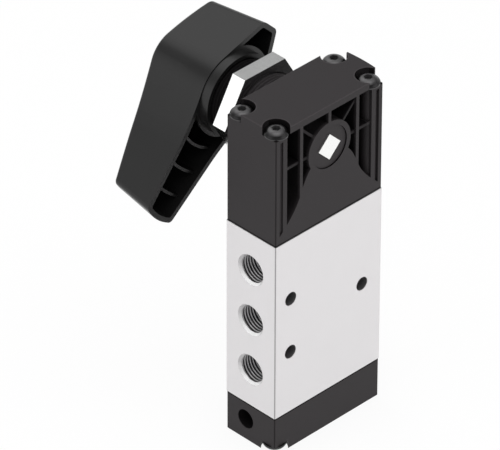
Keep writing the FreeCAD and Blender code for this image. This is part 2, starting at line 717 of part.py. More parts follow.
def make_actuator_housing():
    """Ribbed housing round the rotor, with the threaded neck at its back."""
    low = BODY_TOP + HALF_GASKET
    block = upright_block(SIDE_X, -FRONT_Y, low, TOTAL_HEIGHT, MOULDING_FILLET)
    block = block.makeFillet(TOP_EDGE_FILLET, edges_at(block, AXIS_Z, TOTAL_HEIGHT))
    neck = along_y(NECK_RADIUS, 0, NECK_END_Y)
    neck = neck.makeChamfer(NECK_CHAMFER, edges_at(neck, AXIS_Y, NECK_END_Y))
    shell = block.fuse([side_pad(), neck])
    cavity = box(-CAVITY_HALF_WIDTH, CAVITY_HALF_WIDTH, CAVITY_FRONT_Y, CAVITY_BACK_Y, low, CAVITY_TOP)
    wall = DETENT_BALL_RADIUS + DETENT_WALL
    tower_start = REAR_JOURNAL_RADIUS + DETENT_TOWER_GAP
    tower_front = ECCENTRIC_WIDTH / 2 + DETENT_FIT
    tower = box(tower_start, CAVITY_HALF_WIDTH, tower_front, CAVITY_BACK_Y, SHAFT_Z - wall, SHAFT_Z + wall)
    cuts = [cavity.cut(tower), mirrored(front_pocket()), mirrored(side_groove())]
    cuts.append(along_y(FRONT_HOLE_RADIUS, FRONT_Y, 0))
    cuts.append(along_y(NECK_BORE_RADIUS, CAVITY_BACK_Y - NECK_BORE_LEAD, NECK_END_Y))
    for corner in top_corners():
        cuts.append(corner_notch(corner, TOTAL_HEIGHT - NOTCH_DEPTH, TOTAL_HEIGHT))
        cuts.append(Part.makeCylinder(SCREW_HOLE_RADIUS, HOUSING_HEIGHT, corner + AXIS_Z * low))
    bore_start = Vector(tower_start, DETENT_Y, SHAFT_Z)
    cuts.append(Part.makeCylinder(DETENT_BALL_RADIUS + DETENT_FIT, WIDTH / 2, bore_start, AXIS_X))
    return shell.cut(cuts).removeSplitter()


def detent_plug_start():
    """X of the plug's inner end."""
    return detent_face_x() - DETENT_PLUG_RECESS - DETENT_PLUG_LENGTH


def make_detent_ball():
    """Ball over the rotor's flute, lifted by the bite as it is between the two positions."""
    return Part.makeSphere(DETENT_BALL_RADIUS, Vector(detent_ball_x(), DETENT_Y, SHAFT_Z))


def detent_spring_ends():
    """X of the spring's two ends, between the ball and the plug."""
    start = detent_ball_x() + DETENT_BALL_RADIUS * SPRING_SEAT_SHARE
    return start, detent_plug_start() - SPRING_PLUG_GAP


def make_detent_spring():
    """Coil spring behind the detent ball."""
    start, end = detent_spring_ends()
    coil_radius = DETENT_BALL_RADIUS - DETENT_WIRE_RADIUS - DETENT_FIT
    length = end - start - 2 * DETENT_WIRE_RADIUS
    helix = Part.makeHelix(length / DETENT_COILS, length, coil_radius)
    section = Part.Wire(Part.makeCircle(DETENT_WIRE_RADIUS, Vector(coil_radius, 0, 0), AXIS_Y))
    coil = Part.Wire(helix.Edges).makePipeShell([section], True, True)
    turned = coil.rotated(Vector(0, 0, 0), AXIS_Y, 90)
    return turned.translated(Vector(start + DETENT_WIRE_RADIUS, DETENT_Y, SHAFT_Z))


def make_detent_plug():
    """Slotted set screw that closes the detent bore."""
    start = Vector(detent_plug_start(), DETENT_Y, SHAFT_Z)
    radius = DETENT_BALL_RADIUS + DETENT_FIT
    plug = Part.makeCylinder(radius, DETENT_PLUG_LENGTH, start, AXIS_X)
    half = DETENT_SLOT_WIDTH / 2
    slot = box(-DETENT_SLOT_DEPTH, 0, -radius, radius, -half, half)
    return plug.cut(slot.translated(start + AXIS_X * DETENT_PLUG_LENGTH))


def make_panel_nut():
    """Hexagon panel nut on the neck, flats at top and bottom, its bore broken at both ends."""
    bore = NECK_RADIUS + NUT_FIT
    mouth = bore + NUT_BORE_CHAMFER
    blank = hexagon(NUT_ACROSS_FLATS, NUT_THICKNESS)
    top = AXIS_Z * (NUT_THICKNESS - NUT_BORE_CHAMFER)
    cuts = [
        Part.makeCylinder(bore, NUT_THICKNESS),
        Part.makeCone(mouth, bore, NUT_BORE_CHAMFER),
        Part.makeCone(bore, mouth, NUT_BORE_CHAMFER, top),
    ]
    nut = blank.cut(cuts).rotated(Vector(0, 0, 0), AXIS_X, -90)
    return nut.translated(SHAFT_CENTRE + AXIS_Y * NUT_FRONT_Y)


def make_neck_bush():
    """Bush in the neck that carries the rear journal."""
    length = NECK_END_Y - SEAL_WIDTH - BUSH_FRONT_Y
    start = Vector(0, BUSH_FRONT_Y, SHAFT_Z)
    return tube(NECK_BORE_RADIUS, REAR_JOURNAL_RADIUS + BUSH_FIT, start, AXIS_Y, length)


def make_neck_seal():
    """Wiper ring that keeps dust out of the neck."""
    start = Vector(0, NECK_END_Y - SEAL_WIDTH, SHAFT_Z)
    return tube(NECK_BORE_RADIUS, REAR_JOURNAL_RADIUS + BUSH_FIT, start, AXIS_Y, SEAL_WIDTH)


def corner_round(before, corner, after, radius):
    """Start, middle and end of a rounding between two straight runs."""
    back = before.sub(corner)
    on = after.sub(corner)
    back.normalize()
    on.normalize()
    half_angle = back.getAngle(on) / 2
    start = corner.add(back * (radius / math.tan(half_angle)))
    end = corner.add(on * (radius / math.tan(half_angle)))
    bisector = back.add(on)
    bisector.normalize()
    centre = corner.add(bisector * (radius / math.sin(half_angle)))
    middle = centre.sub(bisector * radius)
    return start, middle, end


def head_tangent(inset):
    """Where the head's straight flank leaves the head circle, as an angle from the arm's far side."""
    length = HEAD_LENGTH
    distance = math.hypot(HEAD_FLAT, length)
    lean = math.atan2(HEAD_FLAT, length)
    angle = lean + math.acos(HEAD_RADIUS / distance)
    radius = HEAD_RADIUS - inset
    return Vector(radius * math.sin(angle), 0, radius * math.cos(angle)), angle


def lever_half_outline(inset, tip_length, wall):
    """Edges of the outline's right half, from the head's end to the tip, moved inwards."""
    tangent, angle = head_tangent(inset)
    along = Vector(math.cos(angle), 0, -math.sin(angle))
    head_z = HEAD_LENGTH - inset
    step = (head_z - tangent.z) / along.z
    head_corner = tangent.add(along * step)
    taper = Vector(TIP_HALF - ARM_START_HALF, 0, ARM_START - TIP_LENGTH)
    taper.normalize()
    outward = Vector(-taper.z, 0, taper.x)
    start = Vector(ARM_START_HALF, 0, -ARM_START)
    reach = HEAD_RADIUS - start.dot(outward)
    blend = (start.dot(start) - HEAD_RADIUS ** 2) / (2 * reach)
    blend_centre = start.add(outward * blend)
    direction = Vector(blend_centre)
    direction.normalize()
    circle_end = direction * (HEAD_RADIUS - inset)
    blend_start = start.sub(outward * inset)
    halfway = circle_end.add(blend_start) * 0.5
    to_middle = halfway.sub(blend_centre)
    to_middle.normalize()
    blend_middle = blend_centre.add(to_middle * (blend + inset))
    crown_centre_z = -tip_length + TIP_CROWN_RADIUS
    crown_radius = TIP_CROWN_RADIUS - inset
    tip_z = crown_centre_z - crown_radius
    corner_z = tip_z + TIP_SAG
    corner = blend_start.add(taper * ((corner_z - blend_start.z) / taper.z))
    inner_x = TIP_CHORD_SHARE * corner.x
    inner = Vector(inner_x, 0, crown_centre_z - math.sqrt(crown_radius ** 2 - inner_x ** 2))
    head_end = Vector(0, 0, head_z)
    head_radius = HEAD_CORNER - wall / 2
    tip_radius = TIP_CORNER - wall / 2
    h0, h1, h2 = corner_round(head_end, head_corner, tangent, head_radius)
    c0, c1, c2 = corner_round(blend_start, corner, inner, tip_radius)
    mid_angle = math.atan2(tangent.x, tangent.z) / 2 + math.atan2(circle_end.x, circle_end.z) / 2
    circle_middle = Vector(math.sin(mid_angle), 0, math.cos(mid_angle)) * (HEAD_RADIUS - inset)
    tip_end = Vector(0, 0, tip_z)
    tip_middle_z = crown_centre_z - math.sqrt(crown_radius ** 2 - (c2.x / 2) ** 2)
    tip_middle = Vector(c2.x / 2, 0, tip_middle_z)
    return [
        Part.LineSegment(head_end, h0),
        Part.Arc(h0, h1, h2),
        Part.LineSegment(h2, tangent),
        Part.Arc(tangent, circle_middle, circle_end),
        Part.Arc(circle_end, blend_middle, blend_start),
        Part.LineSegment(blend_start, c0),
        Part.Arc(c0, c1, c2),
        Part.Arc(c2, tip_middle, tip_end),
    ]


def lever_wire(inset, tip_length, wall, y):
    """Closed outline of the lever at one depth."""
    right = [piece.toShape() for piece in lever_half_outline(inset, tip_length, wall)]
    left = [edge.mirror(Vector(0, 0, 0), AXIS_X) for edge in reversed(right)]
    return Part.Wire(right + left).translated(AXIS_Y * y)


def lever_loft(wall, y0, y1):
    """Drafted solid between two depths, a wall inside the skin and narrowing away from the rim."""
    slope = math.tan(math.radians(LEVER_DRAFT))
    wires = []
    for y in (y0, y1):
        depth = y - RIM_Y
        lean = TIP_LEAN * depth / BACK_CROWN[1][1]
        wires.append(lever_wire(wall + depth * slope, TIP_LENGTH - lean, wall, y))
    return Part.makeLoft(wires, True, True)


def under_crown(gap):
    """Block in front of the lever's crowned back, less a gap."""
    points = [Vector(-HEAD_RADIUS * 2, RIM_Y + depth - gap, -place) for place, depth in BACK_CROWN]
    curve = Part.BSplineCurve()
    curve.interpolate(points)
    first = points[0]
    last = points[-1]
    closing = Part.makePolygon([last, Vector(last.x, 0, last.z), Vector(first.x, 0, first.z), first])
    wire = Part.Wire([curve.toShape()] + closing.Edges)
    return Part.Face(wire).extrude(AXIS_X * HEAD_RADIUS * 4)


def lever_shell():
    """Outer skin of the lever with its rounded back edge and hollow front."""
    solid = lever_loft(0, RIM_Y, LEVER_TRIM_Y).common(under_crown(0))
    back = max(solid.Faces, key=lambda face: face.CenterOfMass.y)
    solid = solid.makeFillet(BACK_FILLET, back.Edges)
    return solid.cut(lever_core())


def lever_core():
    """Hollow inside of the lever, open at the rim."""
    return lever_loft(LEVER_WALL, RIM_Y, LEVER_TRIM_Y).common(under_crown(LEVER_BACK_WALL))


def strength_ribs():
    """Curved cross ribs round the hub's centre, inside the arm."""
    ribs = []
    front = RIM_Y + STRENGTH_RIB_RECESS
    half = STRENGTH_RIB / 2
    lower = box(-HEAD_RADIUS * 2, HEAD_RADIUS * 2, front, CROWN_Y, -TIP_LENGTH, 0)
    for radius in STRENGTH_RIB_RADII:
        ring = tube(radius + half, radius - half, AXIS_Y * front, AXIS_Y, CROWN_Y - front)
        ribs.append(ring.common(lower))
    return ribs


def hub_pieces():
    """Skirt ring with its collar, centre boss, web and spokes of the hub."""
    origin = Vector(0, 0, 0)
    boss_radius = SHAFT_SQUARE / 2 + BOSS_WALL
    inner = HUB_RADIUS - HUB_WALL
    middle = HUB_RADIUS - HUB_WALL / 2
    face = NECK_END_Y + HUB_GAP
    skirt = tube(HUB_RADIUS, inner, AXIS_Y * HUB_FRONT_Y, AXIS_Y, CROWN_Y - HUB_FRONT_Y)
    collar = tube(HUB_COLLAR_RADIUS, inner, AXIS_Y * RIM_Y, AXIS_Y, HUB_COLLAR_THICKNESS)
    boss = along_y(boss_radius, face, CROWN_Y, origin)
    web = along_y(middle, face, face + HUB_WEB, origin)
    spokes = []
    half = STRENGTH_RIB / 2
    for k in range(HUB_SPOKES):
        spoke = box(-half, half, face, CROWN_Y, 0, middle)
        spokes.append(spoke.rotated(origin, AXIS_Y, 360 / HUB_SPOKES * (k + 0.5)))
    return [skirt, collar, boss, web] + spokes


def make_lever():
    """Cup shaped hand lever with its hub, set at its rest place."""
    shell = lever_shell()
    envelope = lever_loft(0, RIM_Y, LEVER_TRIM_Y).common(under_crown(LEVER_BACK_WALL / 2))
    front = box(-HEAD_LENGTH, HEAD_LENGTH, HUB_FRONT_Y, RIM_Y, -HEAD_LENGTH, HEAD_LENGTH)
    inside = joined([envelope, front])
    parts = [piece.common(inside) for piece in hub_pieces() + strength_ribs()]
    lever = joined([shell] + parts)
    boss_end = boss_back_y()
    origin = Vector(0, 0, 0)
    cuts = [
        square_bar(SHAFT_SQUARE + 2 * SQUARE_FIT, HUB_FRONT_Y, boss_end - BOSS_FLOOR),
        along_y(SCREW_HOLE_RADIUS, boss_end - BOSS_FLOOR, LEVER_TRIM_Y, origin),
        along_y(CAP_RADIUS, boss_end, LEVER_TRIM_Y, origin),
    ]
    return at_rest(lever.cut(cuts))


def make_lever_washer():
    """Plain washer under the lever screw's head."""
    start = Vector(0, boss_back_y(), SHAFT_Z)
    return tube(WASHER_RADIUS, SCREW_HOLE_RADIUS, start, AXIS_Y, WASHER_THICKNESS)


def make_lever_screw():
    """Screw that holds the lever on the square shaft."""
    screw = button_screw(LEVER_SCREW_LENGTH).rotated(Vector(0, 0, 0), AXIS_X, -90)
    return screw.translated(Vector(0, boss_back_y() + WASHER_THICKNESS, SHAFT_Z))


def make_lever_cap():
    """Snap-in cover over the lever screw, flush with the lever's back."""
    end = CROWN_Y - CAP_RECESS
    start = end - CAP_THICKNESS
    cover = along_y(CAP_RADIUS, start, end)
    rim_start = Vector(0, start - CAP_RIM_DEPTH, SHAFT_Z)
    rim = tube(CAP_RADIUS, CAP_RADIUS - CAP_RIM, rim_start, AXIS_Y, CAP_RIM_DEPTH)
    return joined([cover, rim])


NODES = {
    "valve_body": make_valve_body,
    "base_gasket": make_base_gasket,
    "housing_gasket": make_housing_gasket,
    "base_cap": make_base_cap,
    "vent_filter": make_vent_filter,
    "base_screws": make_base_screws,
    "top_screws": make_top_screws,
    "spool_seals": make_spool_seals,
    "spool_cages": make_spool_cages,
    "lower_guide": make_lower_guide,
    "upper_guide": make_upper_guide,
    "actuator_housing": make_actuator_housing,
    "detent_ball": make_detent_ball,
    "detent_spring": make_detent_spring,
    "detent_plug": make_detent_plug,
    "panel_nut": make_panel_nut,
    "neck_bush": make_neck_bush,
    "neck_seal": make_neck_seal,
    "spool": make_spool,
    "yoke": make_yoke,
    "yoke_pin": make_yoke_pin,
    "rotor": make_rotor,
    "rotor_o_ring": make_rotor_o_ring,
    "drive_shaft": make_drive_shaft,
    "lever": make_lever,
    "lever_washer": make_lever_washer,
    "lever_screw": make_lever_screw,
    "lever_cap": make_lever_cap,
}

os.makedirs("parts", exist_ok=True)
for name, make in NODES.items():
    make().exportStep("parts/" + name + ".step")
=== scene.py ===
import json
import math

import bmesh
import bpy
import numpy as np
from mathutils import Matrix, Vector


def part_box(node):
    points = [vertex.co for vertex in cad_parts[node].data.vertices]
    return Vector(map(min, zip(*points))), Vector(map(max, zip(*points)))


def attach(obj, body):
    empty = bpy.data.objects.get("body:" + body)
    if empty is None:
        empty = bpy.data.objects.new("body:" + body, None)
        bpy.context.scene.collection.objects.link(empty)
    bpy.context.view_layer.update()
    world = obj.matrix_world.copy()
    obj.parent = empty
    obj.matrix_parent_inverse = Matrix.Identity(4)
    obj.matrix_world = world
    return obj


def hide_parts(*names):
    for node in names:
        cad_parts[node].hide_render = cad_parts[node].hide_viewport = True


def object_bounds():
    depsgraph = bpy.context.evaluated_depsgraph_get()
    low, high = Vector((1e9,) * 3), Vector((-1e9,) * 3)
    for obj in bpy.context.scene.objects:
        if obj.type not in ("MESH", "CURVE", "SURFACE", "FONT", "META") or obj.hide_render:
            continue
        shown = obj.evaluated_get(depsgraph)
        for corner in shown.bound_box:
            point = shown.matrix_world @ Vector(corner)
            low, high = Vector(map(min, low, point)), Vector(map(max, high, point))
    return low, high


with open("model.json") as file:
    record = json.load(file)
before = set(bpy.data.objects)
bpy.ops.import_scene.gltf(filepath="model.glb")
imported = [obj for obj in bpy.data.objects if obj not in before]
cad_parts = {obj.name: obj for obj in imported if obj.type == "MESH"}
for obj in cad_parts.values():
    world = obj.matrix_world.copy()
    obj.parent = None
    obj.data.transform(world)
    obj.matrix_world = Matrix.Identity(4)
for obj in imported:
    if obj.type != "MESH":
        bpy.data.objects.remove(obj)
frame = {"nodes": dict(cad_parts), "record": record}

bl_info = {
    "name": "Hand lever air valve",
    "version": (1, 0, 0),
    "blender": (4, 5, 0),
    "location": "View3D > Sidebar > Valve",
    "description": "Threads, finishes and studio for a hand lever spool valve",
    "category": "Object",
}

MM = 0.001
RECORD = frame["record"]
CAD_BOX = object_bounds()
MOUNTS = {mount["name"]: mount for mount in RECORD["mounts"]}
PORTS = ("port_1", "port_2", "port_3", "port_4", "port_5")
SLOT_OF = {part["node"]: part["material_slot"] for part in RECORD["subparts"]}

# How far the mouldings stand inside the body's sides
SIDE_STEP = 0.2 * MM
# Middle of the hollow in the lever's head, round which inner faces get painted shade: right of the
# hub, behind its bush and below its axis
HEAD_MIDDLE = (5.0 * MM, 8.0 * MM, 5.0 * MM)
# Depth of the lever's rim behind the bush, and the least that an inner face in front of it looks
# towards the hub's axis to get painted shade
RIM_DEPTH = 2.8 * MM
LEAST_INWARDS = 4.0 * MM
# How far a patch of painted shade reaches past the faces that bound it, and the same where space
# is short
SLACK = 0.1 * MM
SMALL_SLACK = 0.05 * MM
# Where the neck's thread starts behind the housing and ends before the neck does
NECK_START = 0.4 * MM
NECK_END = 0.3 * MM
# How far the back of a thread lies inside the metal or plastic that carries it
PORT_SINK = 0.03 * MM
NECK_SINK = 0.4 * MM
# By how much a screw pillar is thicker at its foot, and how far it goes into the pocket's roof
PILLAR_TAPER = 0.15 * MM
PILLAR_SINK = 0.3 * MM
# Steps round a surface, and along each turn of a thread or along the whole pillar
PORT_STEPS = (96, 12)
NECK_STEPS = (128, 10)
PILLAR_STEPS = (48, 12)
# How much steeper the flanks of a thread are than those of a plain triangle
FLANK = 1.35
# Joining of loose triangles: points this near are one, faces this flat are one
MERGE_DISTANCE = 0.001 * MM
FLAT_ANGLE = math.radians(0.2)
SHARP_ANGLE = math.radians(28)
# Half the floor's width, the share of its light that doesn't depend on shadow, and its tint
FLOOR_HALF = 4.0
FLOOR_GLOW = 0.9
FLOOR_TINT = 0.92
# Distance of the softboxes, and for each its direction and width, in metres
SOFTBOX_DISTANCE = 1.2
SOFTBOXES = {
    "top": ((-0.15, -0.2, 1.0), 1.0),
    "left": ((-1.0, 0.25, 0.45), 0.9),
    "rear": ((0.1, 0.72, 0.69), 0.8),
    "right": ((0.45, -1.0, 0.35), 0.9),
}


# Sizes and colours

class ThreadSizes(bpy.types.PropertyGroup):
    """Sizes of the pipe threads in the ports and of the panel thread on the neck."""

    port_pitch: bpy.props.FloatProperty(
        name="Port pitch", description="Distance between two turns in a port",
        default=1.337 * MM, unit="LENGTH", precision=5)
    port_depth: bpy.props.FloatProperty(
        name="Port thread depth", description="Height of a thread from root to crest in a port",
        default=0.86 * MM, unit="LENGTH", precision=5)
    port_length: bpy.props.FloatProperty(
        name="Port thread length", description="How far a port is threaded",
        default=10.9 * MM, unit="LENGTH", precision=5)
    port_lead_in: bpy.props.FloatProperty(
        name="Port lead-in", description="Depth of the chamfer at a port's mouth",
        default=1.15 * MM, unit="LENGTH", precision=5)
    neck_pitch: bpy.props.FloatProperty(
        name="Neck pitch", description="Distance between two turns on the neck",
        default=1.5 * MM, unit="LENGTH", precision=5)
    neck_radius: bpy.props.FloatProperty(
        name="Neck radius", description="Radius over the crests of the neck's thread",
        default=15.0 * MM, unit="LENGTH", precision=5)
    neck_depth: bpy.props.FloatProperty(
        name="Neck thread depth", description="Height of a thread from root to crest on the neck",
        default=0.85 * MM, unit="LENGTH", precision=5)


class HollowSizes(bpy.types.PropertyGroup):
    """Sizes of the hollows in the mouldings, and of the painted shade in them and on the screws.
    """

    pocket_depth: bpy.props.FloatProperty(
        name="Pocket depth", description="Depth of the housing's front pockets",
        default=8.0 * MM, unit="LENGTH", precision=5)
    pocket_wall: bpy.props.FloatProperty(
        name="Pocket wall", description="Between the housing's side and its pockets",
        default=5.8 * MM, unit="LENGTH", precision=5)
    pocket_roof: bpy.props.FloatProperty(
        name="Pocket roof", description="Between the housing's top and its pockets",
        default=3.0 * MM, unit="LENGTH", precision=5)
    journal_radius: bpy.props.FloatProperty(
        name="Journal radius", description="Radius of the front hole that the rotor turns in",
        default=9.0 * MM, unit="LENGTH", precision=5)
    shade_depth: bpy.props.FloatProperty(
        name="Shade depth", description="Depth in a pocket at which it is fully dark",
        default=1.6 * MM, unit="LENGTH", precision=5)
    pillar_shade_depth: bpy.props.FloatProperty(
        name="Pillar shade depth", description="Depth at which the screw pillars are fully dark",
        default=7.5 * MM, unit="LENGTH", precision=5)
    pillar_radius: bpy.props.FloatProperty(
        name="Pillar radius", description="Radius of the round pillar round a front screw",
        default=3.2 * MM, unit="LENGTH", precision=5)
    screw_radius: bpy.props.FloatProperty(
        name="Screw hole radius", description="Radius of the hole for a corner screw",
        default=2.75 * MM, unit="LENGTH", precision=5)
    notch_depth: bpy.props.FloatProperty(
        name="Notch depth", description="Depth of the notch round a corner screw",
        default=3.5 * MM, unit="LENGTH", precision=5)
    notch_radius: bpy.props.FloatProperty(
        name="Notch radius", description="Radius of the notch round a corner screw",
        default=5.1 * MM, unit="LENGTH", precision=5)
    screw_inset: bpy.props.FloatProperty(
        name="Screw inset", description="From the housing's sides to a corner screw's axis",
        default=3.9 * MM, unit="LENGTH", precision=5)
    vent_radius: bpy.props.FloatProperty(
        name="Vent radius", description="Radius of the vent in the base",
        default=4.05 * MM, unit="LENGTH", precision=5)
    # Where the painted shade in the pockets starts, and how far up it grows
    foot_start: bpy.props.FloatProperty(
        name="Foot start", description="Height in the housing from which its pockets get darker",
        default=8.0 * MM, unit="LENGTH", precision=5)
    foot_rise: bpy.props.FloatProperty(
        name="Foot rise", description="Further height after which the pockets are fully dark",
        default=12.0 * MM, unit="LENGTH", precision=5)
    socket_radius: bpy.props.FloatProperty(
        name="Socket radius", description="Round the corners of a screw's hexagon socket",
        default=1.75 * MM, unit="LENGTH", precision=5)
    # Painted shade along the upright corners
    corner_line: bpy.props.FloatProperty(
        name="Corner line", description="Width of the darker strip along an upright corner",
        default=0.4 * MM, unit="LENGTH", precision=5)
    # Painted shade along the joints between mouldings and body
    joint_line: bpy.props.FloatProperty(
        name="Joint line", description="Height of the dark line where a moulding meets the body",
        default=0.45 * MM, unit="LENGTH", precision=5)


class FinishColours(bpy.types.PropertyGroup):
    """Colours of the finishes that show, as linear light."""

    aluminium: bpy.props.FloatVectorProperty(
        name="Aluminium", description="Blasted and anodised body",
        default=(0.74, 0.725, 0.733), subtype="COLOR", min=0.0, max=1.0)
    # Darker than the body's aluminium as painted shade inside the ports
    cut: bpy.props.FloatVectorProperty(
        name="Cut aluminium", description="Threads cut in the body",
        default=(0.30, 0.295, 0.30), subtype="COLOR", min=0.0, max=1.0)
    # Painted shade: colour of the walls of the drilled holes
    drilled: bpy.props.FloatVectorProperty(
        name="Drilled aluminium", description="Walls of the drilled holes in the body",
        default=(0.17, 0.167, 0.17), subtype="COLOR", min=0.0, max=1.0)
    moulding: bpy.props.FloatVectorProperty(
        name="Housing plastic", description="Glass filled black plastic",
        default=(0.0254, 0.0222, 0.0236), subtype="COLOR", min=0.0, max=1.0)
    lever: bpy.props.FloatVectorProperty(
        name="Lever plastic", description="Black plastic of the hand lever",
        default=(0.0085, 0.0084, 0.0084), subtype="COLOR", min=0.0, max=1.0)
    plating: bpy.props.FloatVectorProperty(
        name="Nut plating", description="Bright plated panel nut",
        default=(0.945, 0.95, 0.945), subtype="COLOR", min=0.0, max=1.0)
    screws: bpy.props.FloatVectorProperty(
        name="Screws", description="Dark plated screws",
        default=(0.11, 0.108, 0.11), subtype="COLOR", min=0.0, max=1.0)


class CameraSettings(bpy.types.PropertyGroup):
    """Where the camera stands, as the photograph was taken."""

    azimuth: bpy.props.FloatProperty(
        name="Azimuth", description="Turn round the object from the front",
        default=math.radians(-44.673), subtype="ANGLE")
    elevation: bpy.props.FloatProperty(
        name="Elevation", description="Height above the horizon",
        default=math.radians(35.351), subtype="ANGLE")
    roll: bpy.props.FloatProperty(
        name="Roll", description="Turn about the line of sight",
        default=math.radians(0.154), subtype="ANGLE")
    distance: bpy.props.FloatProperty(
        name="Distance", description="From the point that is looked at",
        default=2411.2 * MM, unit="LENGTH")
    aim_height: bpy.props.FloatProperty(
        name="Aim height", description="Height on the object's axis that the aim starts from",
        default=70.0 * MM, unit="LENGTH")
    aim_right: bpy.props.FloatProperty(
        name="Aim right", description="Shift of the aim to the right in the picture",
        default=-20.177 * MM, unit="LENGTH")
    aim_up: bpy.props.FloatProperty(
        name="Aim up", description="Shift of the aim upwards in the picture",
        default=13.515 * MM, unit="LENGTH")
    lens: bpy.props.FloatProperty(
        name="Lens", description="Focal length in millimetres for the sensor's width",
        default=463.91, min=20.0)
    sensor: bpy.props.FloatProperty(
        name="Sensor", description="Width of the sensor in millimetres",
        default=36.0, min=10.0)


class LightSettings(bpy.types.PropertyGroup):
    """Strengths of the studio lights."""

    horizon: bpy.props.FloatProperty(
        name="Horizon", description="Strength of the sky near the horizon",
        default=0.60, min=0.0)
    middle: bpy.props.FloatProperty(
        name="Middle sky", description="Strength of the sky at 35 degrees",
        default=0.36, min=0.0)
    zenith: bpy.props.FloatProperty(
        name="Zenith", description="Strength of the sky from 50 degrees upwards",
        default=1.0, min=0.0)
    top: bpy.props.FloatProperty(
        name="Top softbox", description="Power of the large softbox above, in watts",
        default=3.5, min=0.0)
    left: bpy.props.FloatProperty(
        name="Left softbox", description="Power of the softbox on the left, in watts",
        default=2.6, min=0.0)
    right: bpy.props.FloatProperty(
        name="Right softbox", description="Power of the softbox on the right, in watts",
        default=3.6, min=0.0)
    rear: bpy.props.FloatProperty(
        name="Rear softbox", description="Power of the softbox behind, in watts",
        default=1.7, min=0.0)
    backdrop: bpy.props.FloatVectorProperty(
        name="Backdrop", description="Colour of the floor and backdrop",
        default=(1.0, 1.0, 1.0), subtype="COLOR", min=0.0, max=1.0)
    backdrop_top: bpy.props.FloatProperty(
        name="Backdrop top", description="Sine of the elevation that the backdrop reaches",
        default=0.40, min=0.0, max=1.0)


# Shader arithmetic

class Signal:
    """A shader socket that can stand in an expression; each operation adds its Math node."""

    def __init__(self, finish, socket):
        self.finish = finish
        self.socket = socket

    def _math(self, operation, first, second):
        return self.finish.node("ShaderNodeMath", {"operation": operation}, {0: first, 1: second})

    def __add__(self, other):
        return self._math("ADD", self, other)

    def __radd__(self, other):
        return self._math("ADD", other, self)

    def __sub__(self, other):
        return self._math("SUBTRACT", self, other)

    def __rsub__(self, other):
        return self._math("SUBTRACT", other, self)

    def __mul__(self, other):
        return self._math("MULTIPLY", self, other)

    def __rmul__(self, other):
        return self._math("MULTIPLY", other, self)

    def __gt__(self, other):
        return self._math("GREATER_THAN", self, other)

    def __lt__(self, other):
        return self._math("LESS_THAN", self, other)

    def __abs__(self):
        return self._math("ABSOLUTE", self, 0.0)

    def root(self):
        """Square root."""
        return self._math("SQRT", self, 0.0)


